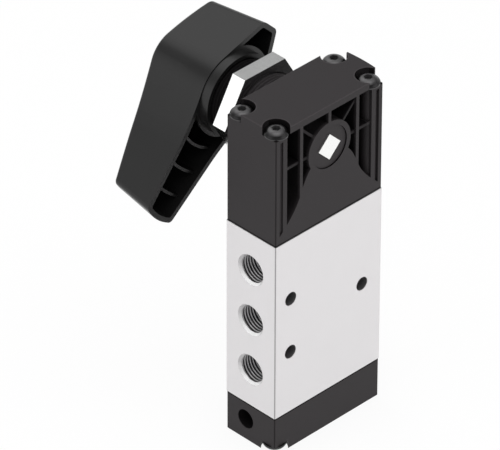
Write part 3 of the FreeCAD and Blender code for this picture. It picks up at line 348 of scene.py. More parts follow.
class Finish:
    """A node material under construction."""

    def __init__(self, name, tree=None):
        if tree is None:
            self.material = bpy.data.materials.new(name)
            self.material.use_nodes = True
            tree = self.material.node_tree
        self.tree = tree
        self.tree.nodes.clear()

    def node(self, kind, settings=None, values=None, output=0):
        """Adds a node: its settings first, then the values or links of its sockets."""
        made = self.tree.nodes.new(kind)
        for name, setting in (settings or {}).items():
            if name == "stops":
                self.set_stops(made.color_ramp, setting)
            else:
                setattr(made, name, setting)
        for place, value in (values or {}).items():
            if isinstance(value, Signal):
                self.tree.links.new(value.socket, made.inputs[place])
            else:
                made.inputs[place].default_value = value
        return Signal(self, made.outputs[output]) if made.outputs else made

    def set_stops(self, ramp, stops):
        """Gives a colour ramp its stops, each a position and a grey level."""
        while len(ramp.elements) < len(stops):
            ramp.elements.new(1.0)
        for element, (position, level) in zip(ramp.elements, stops):
            element.position = position
            element.color = (level, level, level, 1.0)

    def place(self):
        """Object coordinates in metres."""
        return self.node("ShaderNodeTexCoord", output=3)

    def moved(self, shift=(0.0, 0.0, 0.0), scale=(1.0, 1.0, 1.0)):
        """Object coordinates shifted and then stretched along each axis."""
        values = {"Vector": self.place(), "Location": shift, "Scale": scale}
        return self.node("ShaderNodeMapping", {"vector_type": "POINT"}, values)

    def off_axis(self, x, z):
        """Object coordinates measured from an axis along Y, without the part along it."""
        return self.moved(shift=(-x, 0.0, -z), scale=(1.0, 0.0, 1.0))

    def split(self, vector):
        """The three parts of a vector as separate numbers."""
        made = self.node("ShaderNodeSeparateXYZ", values={0: vector})
        return [Signal(self, output) for output in made.socket.node.outputs]

    def axes(self):
        """The three object coordinates as separate numbers."""
        return self.split(self.place())

    def normal(self):
        """Normal of the surface in object coordinates."""
        return self.node("ShaderNodeTexCoord", output=1)

    def upwards(self):
        """How far the surface faces up, from -1 to 1."""
        return self.split(self.normal())[2]

    def facing(self, away):
        """How far the surface faces away from a centre, given the place measured from it."""
        settings = {"operation": "DOT_PRODUCT"}
        return self.node("ShaderNodeVectorMath", settings, {0: self.normal(), 1: away}, output=1)

    def off_line(self, first, second):
        """Distance from a line, given the two coordinates measured from it."""
        return (first * first + second * second).root()

    def between(self, value, least, most):
        """1 where the value lies between two limits."""
        return (value > least) * (value < most)

    def clamped(self, value):
        """The value held between 0 and 1."""
        return self.node("ShaderNodeClamp", values={0: value})

    def noise(self, size, detail=2.0, roughness=0.5, vector=None):
        """Smooth noise from 0 to 1 with features of the given size in metres."""
        values = {"Scale": 1.0 / size, "Detail": detail, "Roughness": roughness}
        values["Vector"] = self.place() if vector is None else vector
        return self.node("ShaderNodeTexNoise", {"noise_dimensions": "3D"}, values)

    def blend(self, factor, first, second):
        """Colour between two others."""
        values = {0: factor, 6: colour(first), 7: colour(second)}
        settings = {"data_type": "RGBA", "clamp_factor": True}
        return self.node("ShaderNodeMix", settings, values, output=2)

    def bump(self, height, distance, strength=1.0):
        """Normal of a surface raised by the height, with the given depth in metres."""
        values = {"Height": height, "Distance": distance, "Strength": strength}
        return self.node("ShaderNodeBump", values=values)

    def surface(self, **values):
        """Closes the material with the main shader."""
        shader = self.node("ShaderNodeBsdfPrincipled", values=values)
        self.node("ShaderNodeOutputMaterial", values={0: shader})
        return self.material

    def surface_with_hollows(self, hollow, dark, **values):
        """Closes the material with the main shader, and a matt dark one as painted shade where
        hollow is 1.
        """
        outside = self.node("ShaderNodeBsdfPrincipled", values=values)
        matt = {"Base Color": colour(dark), "Roughness": 0.8, "Specular IOR Level": 0.05}
        inside = self.node("ShaderNodeBsdfPrincipled", values=matt)
        mixed = self.node("ShaderNodeMixShader", values={0: hollow, 1: outside, 2: inside})
        self.node("ShaderNodeOutputMaterial", values={0: mixed})
        return self.material


def colour(value):
    """A colour as four numbers; links pass through."""
    if isinstance(value, Signal):
        return value
    return tuple(value)[:3] + (1.0,)


def shade(base, factor):
    """A colour made lighter or darker by a factor."""
    return tuple(min(1.0, channel * factor) for channel in base)


# Places on the part

def middle_of(node):
    """Middle of a node's box, as three numbers."""
    return [(least + most) / 2 for least, most in zip(*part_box(node))]


def moulding_side():
    """Half the width of the housing and of the base."""
    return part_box("valve_body")[1].x - SIDE_STEP


def moulding_back():
    """Half the depth of the housing and of the base."""
    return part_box("base_cap")[1].y


def off_screw(finish, x, y):
    """Distance from the axis of the nearest corner screw."""
    inset = bpy.context.scene.valve_hollows.screw_inset
    return finish.off_line(
        abs(x) - (moulding_side() - inset), abs(y) - (moulding_back() - inset))


def off_shaft(finish, x, z):
    """Distance from the axis of the square shaft."""
    return finish.off_line(x, z - middle_of("drive_shaft")[2])


# Finishes

def blasted_aluminium(colours):
    """Anodised aluminium: fine even grain, faint upright drawing lines, painted shade along the
    upright corners and in the drilled holes.
    """
    finish = Finish("blasted_aluminium")
    x, y, _ = finish.axes()
    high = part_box("valve_body")[1]
    corner_shade_width, skin = 0.35 * MM, 0.2 * MM
    # Painted shade: a dark strip along the upright corners
    corner = abs(x) + abs(y) > high.x + high.y - corner_shade_width
    # Painted shade: the walls of the drilled holes take the darker drilled colour
    drilled = (abs(x) < high.x - skin) * (abs(y) < high.y - skin)
    cloud = finish.noise(14 * MM, detail=3.0)
    grain = finish.noise(0.22 * MM, detail=2.0)
    drawn = finish.noise(0.35 * MM, detail=2.0, vector=finish.moved(scale=(1.0, 1.0, 0.012)))
    base = tuple(colours.aluminium)
    mottle = 0.5 * cloud + 0.25 * grain + 0.25 * drawn
    face = finish.blend(mottle, shade(base, 0.955), shade(base, 1.03))
    tone = finish.blend(corner, face, shade(base, 0.45))
    tone = finish.blend(drilled, tone, tuple(colours.drilled))
    height = 0.7 * grain + 0.3 * drawn
    return finish.surface(**{
        "Base Color": tone,
        "Metallic": 0.55,
        "Roughness": 0.40 + 0.10 * cloud + 0.06 * grain,
        "Normal": finish.bump(height, 0.006 * MM, 0.5),
    })


def cut_thread(colours):
    """Cut aluminium of the port threads: light crests, painted shade in the roots and fine tool
    lines.

    The tone attribute is 0 on a crest, 1 in a root and 2 on the chamfer, which gets painted light
    where it faces up.
    """
    finish = Finish("cut_thread")
    lines = finish.noise(0.10 * MM, detail=2.0, vector=finish.moved(scale=(1.0, 0.04, 0.04)))
    cloud = finish.noise(4 * MM, detail=2.0)
    tone = finish.node("ShaderNodeAttribute", {"attribute_name": "tone"}, output=2)
    chamfer = tone > 1.5
    root = finish.clamped(tone * 1.4 - 0.2) * (1.0 - chamfer)
    base = tuple(colours.cut)
    crest = finish.blend(0.6 * lines + 0.4 * cloud, shade(base, 1.35), shade(base, 1.65))
    # Painted shade in the thread's roots
    shaded = finish.blend(root, crest, shade(base, 0.22))
    # Painted light on the chamfer, brighter the more it faces up
    painted_chamfer_light = finish.blend(
        1.3 * finish.upwards() + 0.1, shade(colours.aluminium, 0.80), (1.0, 1.0, 1.0))
    return finish.surface(**{
        "Base Color": finish.blend(chamfer, shaded, painted_chamfer_light),
        "Metallic": 0.85 - 0.85 * chamfer,
        "Roughness": 0.30 + 0.12 * lines,
        "Normal": finish.bump(lines, 0.004 * MM, 0.4),
    })


def front_pockets(finish, x, y, z):
    """Painted shade in the housing's front pockets: rises to 1 with depth, more slowly on the
    screw pillars.

    It is weaker near the foot of the pockets, where more light falls in.
    """
    sizes = bpy.context.scene.valve_hollows
    low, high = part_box("actuator_housing")
    depth = y - low.y
    side = moulding_side()
    outer = side - sizes.pocket_wall + SLACK
    inner = side - sizes.screw_inset - sizes.pillar_radius - 0.3 * MM
    pillar = finish.between(abs(x), inner, outer)
    quick = (1.0 - pillar) * finish.clamped(depth * (1.0 / sizes.shade_depth))
    slow = pillar * finish.clamped(depth * (1.0 / sizes.pillar_shade_depth))
    deep = (quick + slow) * (depth < sizes.pocket_depth + SLACK)
    upright = finish.between(z, low.z, high.z - sizes.pocket_roof + SLACK)
    around = off_shaft(finish, x, z) > sizes.journal_radius + SLACK
    foot = finish.clamped((z - low.z - sizes.foot_start) * (1.0 / sizes.foot_rise))
    return deep * (abs(x) < outer) * upright * around * (0.4 + 0.6 * foot)


def screw_notches(finish, x, y, z):
    """Painted shade: 1 in the notches round the heads of the top screws."""
    sizes = bpy.context.scene.valve_hollows
    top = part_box("actuator_housing")[1].z
    lowered = finish.between(z, top - sizes.notch_depth - SLACK, top - 0.25 * MM)
    return (off_screw(finish, x, y) < sizes.notch_radius + SMALL_SLACK) * lowered


def journal_gap(finish, x, y, z):
    """Painted shade: 1 on the wall of the housing's front hole, just behind its mouth."""
    radius = bpy.context.scene.valve_hollows.journal_radius
    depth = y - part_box("actuator_housing")[0].y
    on_wall = abs(off_shaft(finish, x, z) - radius) < 0.06 * MM
    return on_wall * finish.between(depth, SMALL_SLACK, MM)


def vent_hole(finish, x, y, z):
    """Painted shade: 1 in the vent of the base, behind its mouth on the left."""
    radius = bpy.context.scene.valve_hollows.vent_radius
    _, middle_y, middle_z = middle_of("vent_filter")
    side = moulding_side()
    from_axis = finish.off_line(y - middle_y, z - middle_z)
    return (from_axis < radius + SMALL_SLACK) * (x < -0.25 * side) * (x > 0.25 * MM - side)


def rear_neck(finish, x, y, z):
    """Painted shade: 1 on the neck behind the panel nut."""
    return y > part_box("panel_nut")[1].y - 0.3 * MM


def joint_lines(finish, x, y, z):
    """Painted shade: 1 on the foot of the housing and on the upper edge of the base, next to the
    gaskets.
    """
    width = bpy.context.scene.valve_hollows.joint_line
    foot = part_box("actuator_housing")[0].z
    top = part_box("base_cap")[1].z
    return (finish.between(z, foot - SMALL_SLACK, foot + width)
            + finish.between(z, top - width, top + SMALL_SLACK))


def upright_corners(finish, x, y, z):
    """Painted shade: 1 on the upright corners of the mouldings."""
    width = bpy.context.scene.valve_hollows.corner_line
    return (abs(x) > moulding_side() - width) * (abs(y) > moulding_back() - width)


# The patches of painted shade on the mouldings, each with how dark it gets
PAINTED_SHADE_PATCHES = {
    front_pockets: 0.90,
    screw_notches: 0.85,
    journal_gap: 1.0,
    vent_hole: 0.80,
    rear_neck: 0.90,
    joint_lines: 0.75,
    upright_corners: 0.40,
}


def housing_hollows(finish):
    """How much painted shade the housing and the base get at a point: 1 deep in a hollow, 0
    outside.
    """
    axes = finish.axes()
    return finish.clamped(sum(
        darkness * patch(finish, *axes) for patch, darkness in PAINTED_SHADE_PATCHES.items()))


def housing_edges(finish):
    """Painted highlight: 1 on the rounded top edges of the housing and on the rims of its screw
    notches.
    """
    radius = bpy.context.scene.valve_hollows.notch_radius
    x, y, z = finish.axes()
    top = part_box("actuator_housing")[1].z
    round_height, rim_width, rim_height = 1.2 * MM, 0.35 * MM, 0.3 * MM
    near_top = finish.between(z, top - round_height, top - 0.02 * MM)
    rounded = finish.between(finish.upwards(), 0.15, 0.97) * near_top * (y < moulding_back())
    rim = finish.between(off_screw(finish, x, y), radius, radius + rim_width)
    return finish.clamped(rounded + rim * (z > top - rim_height))


def housing_plastic(colours):
    """Black plastic from a spark eroded tool: fine pebble grain and faintly cloudy filler, with
    painted highlights on its edges and painted shade in its hollows.
    """
    finish = Finish("housing_plastic")
    base = tuple(colours.moulding)
    cloud = finish.noise(9 * MM, detail=3.0)
    grain = finish.noise(0.30 * MM, detail=3.0, roughness=0.6)
    tone = finish.blend(0.6 * cloud + 0.4 * grain, shade(base, 0.86), shade(base, 1.14))
    # Painted highlight: lighter colour on the rounded top edges and the rims of the notches
    tone = finish.blend(housing_edges(finish), tone, shade(base, 1.7))
    # Painted shade: a matt dark shader in the hollows, as dark as the patches say
    return finish.surface_with_hollows(housing_hollows(finish), shade(base, 0.12), **{
        "Base Color": tone,
        "Roughness": 0.46 + 0.08 * cloud + 0.10 * grain,
        "Specular IOR Level": 0.20,
        "Normal": finish.bump(grain, 0.010 * MM, 0.45),
    })


def lever_hollows(finish):
    """Painted shade: 1 on the inner sides of the lever.

    Behind the rim, a face is an inner one where its normal points towards the middle of the head's
    hollow. In front of the rim, it is one where its normal points towards the hub's axis.
    """
    _, _, shaft_z = middle_of("drive_shaft")
    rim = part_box("neck_bush")[1].y
    right, deep, down = HEAD_MIDDLE
    from_middle = finish.moved(shift=(-right, -(rim + deep), down - shaft_z))
    inwards = finish.facing(from_middle) < 0.0
    to_axis = finish.facing(finish.off_axis(0.0, shaft_z)) < -LEAST_INWARDS
    behind = finish.axes()[1] > rim + RIM_DEPTH
    return finish.clamped(behind * inwards + (1.0 - behind) * to_axis)


def lever_plastic(colours):
    """Black plastic of the lever, a little finer and glossier than the housing, with painted shade
    on its inner sides.
    """
    finish = Finish("lever_plastic")
    base = tuple(colours.lever)
    cloud = finish.noise(9 * MM, detail=3.0)
    grain = finish.noise(0.22 * MM, detail=3.0, roughness=0.6)
    tone = finish.blend(0.6 * cloud + 0.4 * grain, shade(base, 0.86), shade(base, 1.14))
    # Painted shade: a matt dark shader on the lever's inner sides
    return finish.surface_with_hollows(0.93 * lever_hollows(finish), shade(base, 0.9), **{
        "Base Color": tone,
        "Roughness": 0.25 + 0.05 * cloud + 0.08 * grain,
        "Specular IOR Level": 0.33,
        "Normal": finish.bump(grain, 0.006 * MM, 0.35),
    })


def turned_rings(finish, centre, spacing):
    """Rings round an axis along Y through the centre, as a lathe leaves them on an end face."""
    x, _, z = centre
    values = {
        "Vector": finish.off_axis(x, z), "Scale": 1.0 / spacing, "Distortion": 0.6, "Detail": 1.0}
    settings = {"wave_type": "RINGS", "rings_direction": "SPHERICAL"}
    return finish.node("ShaderNodeTexWave", settings, values, output=1)


def bright_plate(colours):
    """Bright zinc plating on the panel nut: drawn flats, turned end faces darkened as painted
    shade, and light cloudiness.
    """
    finish = Finish("bright_plate")
    low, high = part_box("panel_nut")
    rings = turned_rings(finish, middle_of("panel_nut"), 0.9 * MM)
    drawn = finish.noise(0.16 * MM, detail=2.0, vector=finish.moved(scale=(1.0, 0.02, 1.0)))
    cloud = finish.noise(5 * MM, detail=2.0)
    base = tuple(colours.plating)
    mottle = 0.5 * cloud + 0.3 * drawn + 0.2 * rings
    flat = finish.blend(mottle, shade(base, 0.93), shade(base, 1.04))
    # Painted shade: the end faces are darker
    end_face_shade = 1.0 - finish.between(finish.axes()[1], low.y + SLACK, high.y - SLACK)
    tone = finish.blend(end_face_shade, flat, shade(base, 0.55))
    return finish.surface(**{
        "Base Color": tone,
        "Metallic": 1.0,
        "Roughness": 0.13 + 0.06 * drawn + 0.03 * cloud,
        "Normal": finish.bump(0.5 * drawn + 0.5 * rings, 0.001 * MM, 0.25),
    })


def machined_steel(_colours):
    """Bright steel of the square shaft and small machined parts, drawn in fine lines along Y."""
    finish = Finish("machined_steel")
    drawn = finish.noise(0.12 * MM, detail=2.0, vector=finish.moved(scale=(1.0, 0.015, 1.0)))
    cloud = finish.noise(3 * MM, detail=2.0)
    tone = finish.blend(0.5 * cloud + 0.5 * drawn, (0.92, 0.92, 0.91), (0.98, 0.98, 0.97))
    return finish.surface(**{
        "Base Color": tone,
        "Metallic": 1.0,
        "Roughness": 0.22 + 0.14 * drawn,
        "Normal": finish.bump(drawn, 0.003 * MM, 0.4),
    })


def dark_screw(colours):
    """Dark plated screws: rubbed bright in small patches on the domes, with painted shade down the
    heads' flanks, round their feet and on the screws in the base.
    """
    finish = Finish("dark_screw")
    cloud = finish.noise(2.2 * MM, detail=3.0)
    grain = finish.noise(0.18 * MM, detail=2.0)
    base = tuple(colours.screws)
    tone = finish.blend(0.7 * cloud + 0.3 * grain, shade(base, 0.75), shade(base, 1.25))
    x, y, z = finish.axes()
    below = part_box("top_screws")[1].z - z
    dome_height, head_foot, notch_floor = 1.25 * MM, 2.3 * MM, 4.0 * MM
    # Painted shade down the flank of the head, and less round its foot
    dome_shade = finish.clamped(below * (1.0 / dome_height)) * (below < head_foot)
    rim = finish.between(below, head_foot, notch_floor)
    tone = finish.blend(0.95 * dome_shade + 0.35 * rim, tone, shade(base, 0.14))
    in_hexagon = off_screw(finish, x, y) < bpy.context.scene.valve_hollows.socket_radius
    socket = in_hexagon * finish.between(below, 0.04 * MM, 2.0 * MM)
    tone = finish.blend(socket, tone, shade(base, 0.4))
    # Painted shade on the screws in the base
    tone = finish.blend(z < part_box("base_cap")[1].z, tone, shade(base, 0.35))
    return finish.surface(**{
        "Base Color": tone,
        "Metallic": 0.95 * (1.0 - socket),
        "Roughness": 0.22 + 0.12 * cloud + 0.06 * grain,
        "Normal": finish.bump(grain, 0.004 * MM, 0.35),
    })


def satin_rubber(_colours):
    """Black seal rubber with a dusty satin bloom."""
    finish = Finish("satin_rubber")
    cloud = finish.noise(3 * MM, detail=3.0)
    grain = finish.noise(0.15 * MM, detail=2.0)
    tone = finish.blend(cloud, (0.012, 0.012, 0.012), (0.024, 0.023, 0.023))
    return finish.surface(**{
        "Base Color": tone,
        "Roughness": 0.62 + 0.14 * cloud + 0.08 * grain,
        "Specular IOR Level": 0.3,
        "Normal": finish.bump(grain, 0.006 * MM, 0.4),
    })


def natural_acetal(_colours):
    """Natural acetal with a waxy depth and light machining marks."""
    finish = Finish("natural_acetal")
    cloud = finish.noise(4 * MM, detail=2.0)
    marks = finish.noise(0.2 * MM, detail=2.0, vector=finish.moved(scale=(0.05, 0.05, 1.0)))
    tone = finish.blend(0.6 * cloud + 0.4 * marks, (0.52, 0.49, 0.42), (0.62, 0.60, 0.53))
    return finish.surface(**{
        "Base Color": tone,
        "Roughness": 0.36 + 0.12 * marks,
        "Normal": finish.bump(marks, 0.004 * MM, 0.4),
    })


def sintered_bronze(_colours):
    """Sintered bronze of the vent's filter: packed round grains with dark pores."""
    finish = Finish("sintered_bronze")
    values = {"Vector": finish.place(), "Scale": 1.0 / (0.35 * MM)}
    cells = finish.node("ShaderNodeTexVoronoi", {"feature": "F1"}, values)
    tone = finish.blend(cells, (0.50, 0.33, 0.16), (0.06, 0.04, 0.02))
    return finish.surface(**{
        "Base Color": tone,
        "Metallic": 0.8,
        "Roughness": 0.45 + 0.2 * cells,
        "Normal": finish.bump(1.0 - cells, 0.10 * MM, 0.8),
    })


def ground_aluminium(_colours):
    """Ground and anodised aluminium of the spool and yoke, with fine rings round Z."""
    finish = Finish("ground_aluminium")
    rings = finish.noise(0.14 * MM, detail=2.0, vector=finish.moved(scale=(0.03, 0.03, 1.0)))
    cloud = finish.noise(6 * MM, detail=2.0)
    tone = finish.blend(0.5 * cloud + 0.5 * rings, (0.60, 0.60, 0.60), (0.70, 0.70, 0.70))
    return finish.surface(**{
        "Base Color": tone,
        "Metallic": 1.0,
        "Roughness": 0.24 + 0.12 * rings,
        "Normal": finish.bump(rings, 0.003 * MM, 0.4),
    })


FINISH_OF_SLOT = {
    "aluminium_body": blasted_aluminium,
    "port_thread": cut_thread,
    "black_moulding": housing_plastic,
    "lever_moulding": lever_plastic,
    "nut_metal": bright_plate,
    "shaft_steel": machined_steel,
    "screw_steel": dark_screw,
    "seal_rubber": satin_rubber,
    "bearing_plastic": natural_acetal,
    "bronze": sintered_bronze,
    "spool_aluminium": ground_aluminium,
}


def finish_for(slot):
    """The material of a record slot, made once and then shared."""
    maker = FINISH_OF_SLOT[slot]
    known = bpy.data.materials.get(maker.__name__)
    return known or maker(bpy.context.scene.valve_colours)


def paint(piece, slot):
    """Gives a piece the one material of its slot."""
    piece.data.materials.clear()
    piece.data.materials.append(finish_for(slot))


# Surfaces

def closed_grid(name, points):
    """Mesh of a grid of points, rows by columns by 3, joined to itself both ways."""
    rows, columns = points.shape[:2]
    index = np.arange(rows * columns).reshape(rows, columns)
    right = np.roll(index, -1, axis=1)
    below = np.roll(index, -1, axis=0)
    corner = np.roll(below, -1, axis=1)
    faces = np.stack([index, below, corner, right], axis=-1).reshape(-1, 4)
    mesh = bpy.data.meshes.new(name)
    mesh.from_pydata(points.reshape(-1, 3).tolist(), [], faces.tolist())
    mesh.validate()
    mesh.shade_smooth()
    piece = bpy.data.objects.new(name, mesh)
    bpy.context.scene.collection.objects.link(piece)
    return piece


def triangle_wave(turns):
    """Distance from the nearest whole number, doubled: 0 on it and 1 half way to the next."""
    return 2.0 * np.abs(turns - np.round(turns))


def threaded_wall(radius, depth, pitch, length, steps_round, steps_per_turn, lead_in):
    """Radius, height, angle and tone of a screw thread, cut inwards or outwards from a wall.

    The radius at angle a and height h is the crest radius plus the depth times a clipped triangle
    wave of h / pitch - a / (2 pi). Within the lead-in it is the cone that opens from the crest at
    the lead-in's height to the full depth at height 0. The sign of the depth says which way the
    root lies. The tone is 0 on the crests, 1 in the roots and 2 on the cone.
    """
    rows = int(steps_per_turn * length / pitch)
    height = np.linspace(0.0, length, rows)[:, None]
    angle = np.linspace(0.0, 2 * np.pi, steps_round, endpoint=False)[None, :]
    triangle = triangle_wave(height / pitch - angle / (2 * np.pi))
    wave = np.clip(FLANK * triangle - (FLANK - 1.0) / 2, 0.0, 1.0)
    cone = np.clip(1.0 - height / lead_in, 0.0, 1.0) + 0.0 * angle
    share = np.where(cone > 0.0, cone, wave)
    tone = np.where(cone > 0.0, 2.0, wave)
    return radius + depth * share, height + 0.0 * angle, angle + 0.0 * height, tone


def tapered_wall(radius, taper, length, steps_round, rows):
    """Radius, height, angle and tone of a cone that gets thinner by the taper over its length.

    The radius at height h is radius + taper * (1 - h / length), and the tone is 0.
    """
    height = np.linspace(0.0, length, rows)[:, None]
    angle = np.linspace(0.0, 2 * np.pi, steps_round, endpoint=False)[None, :]
    level = 0.0 * height * angle
    return radius + taper * (1.0 - height / length) + level, height + level, angle + level, level


def round_points(radius, height, angle, origin, axis):
    """Points at a radius, height and angle about an axis, as rows by columns by 3."""
    turn = np.array(Vector((0, 0, 1)).rotation_difference(Vector(axis)).to_matrix())
    local = np.stack([radius * np.cos(angle), radius * np.sin(angle), height], axis=-1)
    return local @ turn.T + np.array(origin)


def sleeve(name, wall, back_radius, origin, axis):
    """Closed sleeve whose one side is the given wall and whose other side is a plain cylinder.

    The wall's tone is kept as the attribute that the finish reads.
    """
    radius, height, angle, tone = wall
    back = np.full_like(radius[:2], back_radius)
    ends = np.stack([height[-1], height[0]])
    all_radius = np.concatenate([radius, back])
    all_height = np.concatenate([height, ends])
    all_angle = np.concatenate([angle, angle[:2]])
    all_tone = np.concatenate([tone, np.zeros_like(back)])
    points = round_points(all_radius, all_height, all_angle, origin, axis)
    piece = closed_grid(name, points)
    face_outwards(piece)
    kept = piece.data.attributes.new("tone", "FLOAT", "POINT")
    kept.data.foreach_set("value", all_tone.ravel())
    return piece


def face_outwards(piece):
    """Turns all faces of a closed mesh outwards."""
    shell = bmesh.new()
    shell.from_mesh(piece.data)
    bmesh.ops.recalc_face_normals(shell, faces=shell.faces)
    shell.to_mesh(piece.data)
    shell.free()


def mount_of(name):
    """Axis point, outward direction and radius of a round mount, in metres."""
    mount = MOUNTS[name]
    return np.array(mount["pos_m"]), np.array(mount["axis"]), mount["dims"]["r_mm"] * MM


# Pieces

class VALVE_OT_port_threads(bpy.types.Operator):
    """Screw threads in the five ports, each a helical sleeve with a chamfered mouth"""

    bl_idname = "valve.port_threads"
    bl_label = "Port threads"

    def execute(self, context):
        sizes = context.scene.valve_threads
        low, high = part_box("valve_body")
        for name in PORTS:
            mouth, outward, radius = mount_of(name)
            mouth[0] = high.x if outward[0] > 0 else low.x
            wall = threaded_wall(
                radius - sizes.port_depth, sizes.port_depth, sizes.port_pitch, sizes.port_length,
                *PORT_STEPS, sizes.port_lead_in)
            piece = sleeve(name + "_thread", wall, radius + PORT_SINK, mouth, -outward)
            paint(piece, "port_thread")
            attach(piece, "valve")
        return {"FINISHED"}


class VALVE_OT_housing(bpy.types.Operator):
    """Housing with its neck at the thread's root, and the panel thread that goes round it"""

    bl_idname = "valve.housing"
    bl_label = "Housing and neck thread"

    def execute(self, context):
        sizes = context.scene.valve_threads
        root = sizes.neck_radius - sizes.neck_depth
        _, _, axis_height = middle_of("neck_bush")
        housing = merged_copy("actuator_housing", "housing")
        turn_down_neck(housing, sizes.neck_radius, root, axis_height)
        flatten = housing.modifiers.new("flat_faces", "WEIGHTED_NORMAL")
        flatten.weight = 100
        flatten.keep_sharp = True
        paint(housing, "black_moulding")
        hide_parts("actuator_housing")
        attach(housing, "valve")
        start = moulding_back() + NECK_START
        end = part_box("actuator_housing")[1].y - NECK_END
        wall = threaded_wall(
            sizes.neck_radius, -sizes.neck_depth, sizes.neck_pitch, end - start,
            *NECK_STEPS, sizes.neck_depth)
        origin = (0.0, end, axis_height)
        thread = sleeve("neck_thread", wall, root - NECK_SINK, origin, (0, -1, 0))
        paint(thread, "black_moulding")
        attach(thread, "valve")
        return {"FINISHED"}


class VALVE_OT_screw_pillars(bpy.types.Operator):
    """Round pillars of the housing round its two front screws, inside the outer pockets"""

    bl_idname = "valve.screw_pillars"
    bl_label = "Screw pillars"

    def execute(self, context):
        sizes = context.scene.valve_hollows
        low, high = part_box("actuator_housing")
        foot = low.z + MM
        rise = high.z - sizes.pocket_roof + PILLAR_SINK - foot
        across = moulding_side() - sizes.screw_inset
        for name, hand in (("left_screw_pillar", -1), ("right_screw_pillar", 1)):
            wall = tapered_wall(sizes.pillar_radius, PILLAR_TAPER, rise, *PILLAR_STEPS)
            centre = (hand * across, low.y + sizes.screw_inset, foot)
            pillar = sleeve(name, wall, sizes.screw_radius, centre, (0, 0, 1))
            paint(pillar, "black_moulding")
            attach(pillar, "valve")
        return {"FINISHED"}


def merged_copy(node, name):
    """Copy of a node's mesh with its loose triangles joined, sharp edges kept by angle."""
    copy = bpy.data.objects.new(name, frame["nodes"][node].data.copy())
    copy.data.name = name
    bpy.context.scene.collection.objects.link(copy)
    shell = bmesh.new()
    shell.from_mesh(copy.data)
    bmesh.ops.remove_doubles(shell, verts=shell.verts, dist=MERGE_DISTANCE)
    bmesh.ops.dissolve_limit(
        shell, angle_limit=FLAT_ANGLE, verts=shell.verts, edges=shell.edges,
        use_dissolve_boundaries=False)
    shell.to_mesh(copy.data)
    shell.free()
    copy.data.shade_smooth()
    copy.data.set_sharp_from_angle(angle=SHARP_ANGLE)
    return copy


def turn_down_neck(housing, radius, root, axis_height):
    """Moves the points on the neck's outside from its radius in to the thread's root."""
    vertices = housing.data.vertices
    points = np.empty((len(vertices), 3))
    vertices.foreach_get("co", points.ravel())
    across = np.hypot(points[:, 0], points[:, 2] - axis_height)
    behind = points[:, 1] > moulding_back() - 0.01 * MM
    on_neck = behind & (np.abs(across - radius) < SMALL_SLACK)
    shrink = np.where(on_neck, root / np.maximum(across, MM), 1.0)
    points[:, 0] *= shrink
    points[:, 2] = axis_height + (points[:, 2] - axis_height) * shrink
    vertices.foreach_set("co", points.ravel())
    housing.data.update()


class VALVE_OT_finishes(bpy.types.Operator):
    """Materials for every part that is carried over from the solid model"""

    bl_idname = "valve.finishes"
    bl_label = "Finishes"

    def execute(self, context):
        for node, part in frame["nodes"].items():
            paint(part, SLOT_OF[node])
        return {"FINISHED"}


# Studio

def softbox(name, direction, width, power, aim):
    """Square area lamp that looks at the aim from a direction."""
    lamp = bpy.data.lights.new(name, "AREA")
    lamp.shape = "SQUARE"
    lamp.size = width
    lamp.energy = power
    holder = bpy.data.objects.new(name, lamp)
    bpy.context.scene.collection.objects.link(holder)
    away = Vector(direction).normalized()
    holder.location = aim + away * SOFTBOX_DISTANCE
    holder.rotation_mode = "QUATERNION"
    holder.rotation_quaternion = away.to_track_quat("Z", "Y")


def seen_directly(finish, reflected=1.0):
    """1 for rays from the camera, the given share off a mirror or through glass, else 0."""
    path = finish.node("ShaderNodeLightPath").socket.node.outputs
    camera = Signal(finish, path["Is Camera Ray"])
    glossy = Signal(finish, path["Is Glossy Ray"])
    through = Signal(finish, path["Is Transmission Ray"])
    return finish.clamped(camera + (glossy + through) * reflected)


def make_floor(settings):
    """Large floor that shows as the backdrop's colour with a soft shadow."""
    half = FLOOR_HALF
    corners = [(-half, -half, 0.0), (half, -half, 0.0), (half, half, 0.0), (-half, half, 0.0)]
    mesh = bpy.data.meshes.new("floor")
    mesh.from_pydata(corners, [], [(0, 1, 2, 3)])
    floor = bpy.data.objects.new("floor", mesh)
    bpy.context.scene.collection.objects.link(floor)
    finish = Finish("floor")
    tint = colour(settings.backdrop)
    matt = finish.node("ShaderNodeBsdfDiffuse", values={"Color": colour(shade(tint, FLOOR_TINT))})
    glow = finish.node("ShaderNodeEmission", values={"Color": tint, "Strength": 1.0})
    share = FLOOR_GLOW * seen_directly(finish)
    mixed = finish.node("ShaderNodeMixShader", values={0: share, 1: matt, 2: glow})
    finish.node("ShaderNodeOutputMaterial", values={0: mixed})
    mesh.materials.append(finish.material)


def make_sky(settings):
    """Graded sky over a backdrop, whose colour the camera sees; metal shows it up to its top."""
    world = bpy.data.worlds.new("studio")
    world.use_nodes = True
    bpy.context.scene.world = world
    sky = Finish("studio", world.node_tree)
    height = sky.split(sky.node("ShaderNodeTexCoord"))[2]
    stops = (
        (0.0, settings.horizon), (0.25, settings.horizon), (0.42, settings.middle),
        (0.62, settings.middle), (0.78, settings.zenith))
    level = sky.node("ShaderNodeValToRGB", {"stops": stops}, {0: height})
    even = sky.node("ShaderNodeBackground", values={"Color": level, "Strength": 1.0})
    tint = colour(settings.backdrop)
    plain = sky.node("ShaderNodeBackground", values={"Color": tint, "Strength": 1.0})
    seen = seen_directly(sky, height < settings.backdrop_top)
    mixed = sky.node("ShaderNodeMixShader", values={0: seen, 1: even, 2: plain})
    sky.node("ShaderNodeOutputWorld", values={0: mixed})


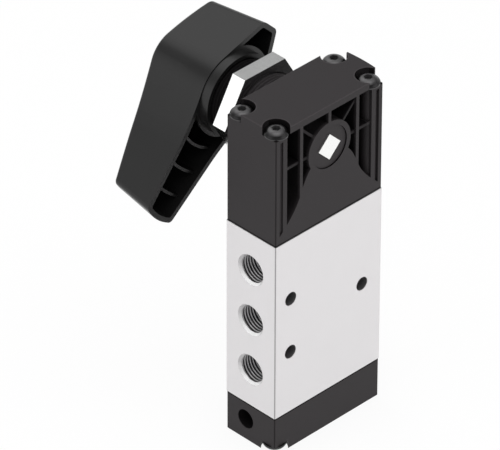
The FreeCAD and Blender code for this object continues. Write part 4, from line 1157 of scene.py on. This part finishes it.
def make_camera(settings):
    """Camera on a sphere round the aim, turned by azimuth, elevation and roll."""
    turn, rise, roll = settings.azimuth, settings.elevation, settings.roll
    back = Vector((
        math.sin(turn) * math.cos(rise), -math.cos(turn) * math.cos(rise), math.sin(rise)))
    level = Vector((math.cos(turn), math.sin(turn), 0.0))
    upright = back.cross(level)
    right = level * math.cos(roll) + upright * math.sin(roll)
    up = back.cross(right)
    start = Vector((0.0, 0.0, settings.aim_height))
    aim = start + right * settings.aim_right + up * settings.aim_up
    data = bpy.data.cameras.new("camera")
    data.sensor_width = settings.sensor
    data.lens = settings.lens
    data.clip_start = 0.1
    data.clip_end = 20.0
    camera = bpy.data.objects.new("camera", data)
    bpy.context.scene.collection.objects.link(camera)
    axes = Matrix((right, up, back)).transposed()
    camera.matrix_world = Matrix.Translation(aim + back * settings.distance) @ axes.to_4x4()
    bpy.context.scene.camera = camera


class VALVE_OT_stage(bpy.types.Operator):
    """Floor, sky, softboxes and the camera at the photograph's angle"""

    bl_idname = "valve.stage"
    bl_label = "Studio and camera"

    def execute(self, context):
        lights = context.scene.valve_lights
        make_floor(lights)
        make_sky(lights)
        make_camera(context.scene.valve_camera)
        aim = Vector((0.0, 0.0, 0.5 * CAD_BOX[1].z))
        for name, (direction, width) in SOFTBOXES.items():
            softbox(name + "_softbox", direction, width, getattr(lights, name), aim)
        context.scene.view_settings.view_transform = "Standard"
        return {"FINISHED"}


class VALVE_PT_sidebar(bpy.types.Panel):
    """Buttons for each group of pieces, with the sizes and colours that they use"""

    bl_idname = "VALVE_PT_sidebar"
    bl_label = "Hand lever valve"
    bl_space_type = "VIEW_3D"
    bl_region_type = "UI"
    bl_category = "Valve"

    def draw(self, context):
        for operator in OPERATORS:
            self.layout.operator(operator.bl_idname)
        for name in SETTINGS:
            group = getattr(context.scene, name)
            for key in group.__annotations__:
                self.layout.prop(group, key)


SETTINGS = {
    "valve_threads": ThreadSizes,
    "valve_hollows": HollowSizes,
    "valve_colours": FinishColours,
    "valve_camera": CameraSettings,
    "valve_lights": LightSettings,
}
OPERATORS = (
    VALVE_OT_finishes,
    VALVE_OT_port_threads,
    VALVE_OT_housing,
    VALVE_OT_screw_pillars,
    VALVE_OT_stage,
)


def register():
    """Registers the settings, the operators and the panel."""
    for name, group in SETTINGS.items():
        bpy.utils.register_class(group)
        setattr(bpy.types.Scene, name, bpy.props.PointerProperty(type=group))
    for operator in OPERATORS:
        bpy.utils.register_class(operator)
    bpy.utils.register_class(VALVE_PT_sidebar)


def unregister():
    """Takes away all that register adds."""
    bpy.utils.unregister_class(VALVE_PT_sidebar)
    for operator in reversed(OPERATORS):
        bpy.utils.unregister_class(operator)
    for name, group in SETTINGS.items():
        delattr(bpy.types.Scene, name)
        bpy.utils.unregister_class(group)


def main():
    register()
    bpy.ops.valve.finishes()
    bpy.ops.valve.port_threads()
    bpy.ops.valve.housing()
    bpy.ops.valve.screw_pillars()
    bpy.ops.valve.stage()


if __name__ == "__main__":
    main()
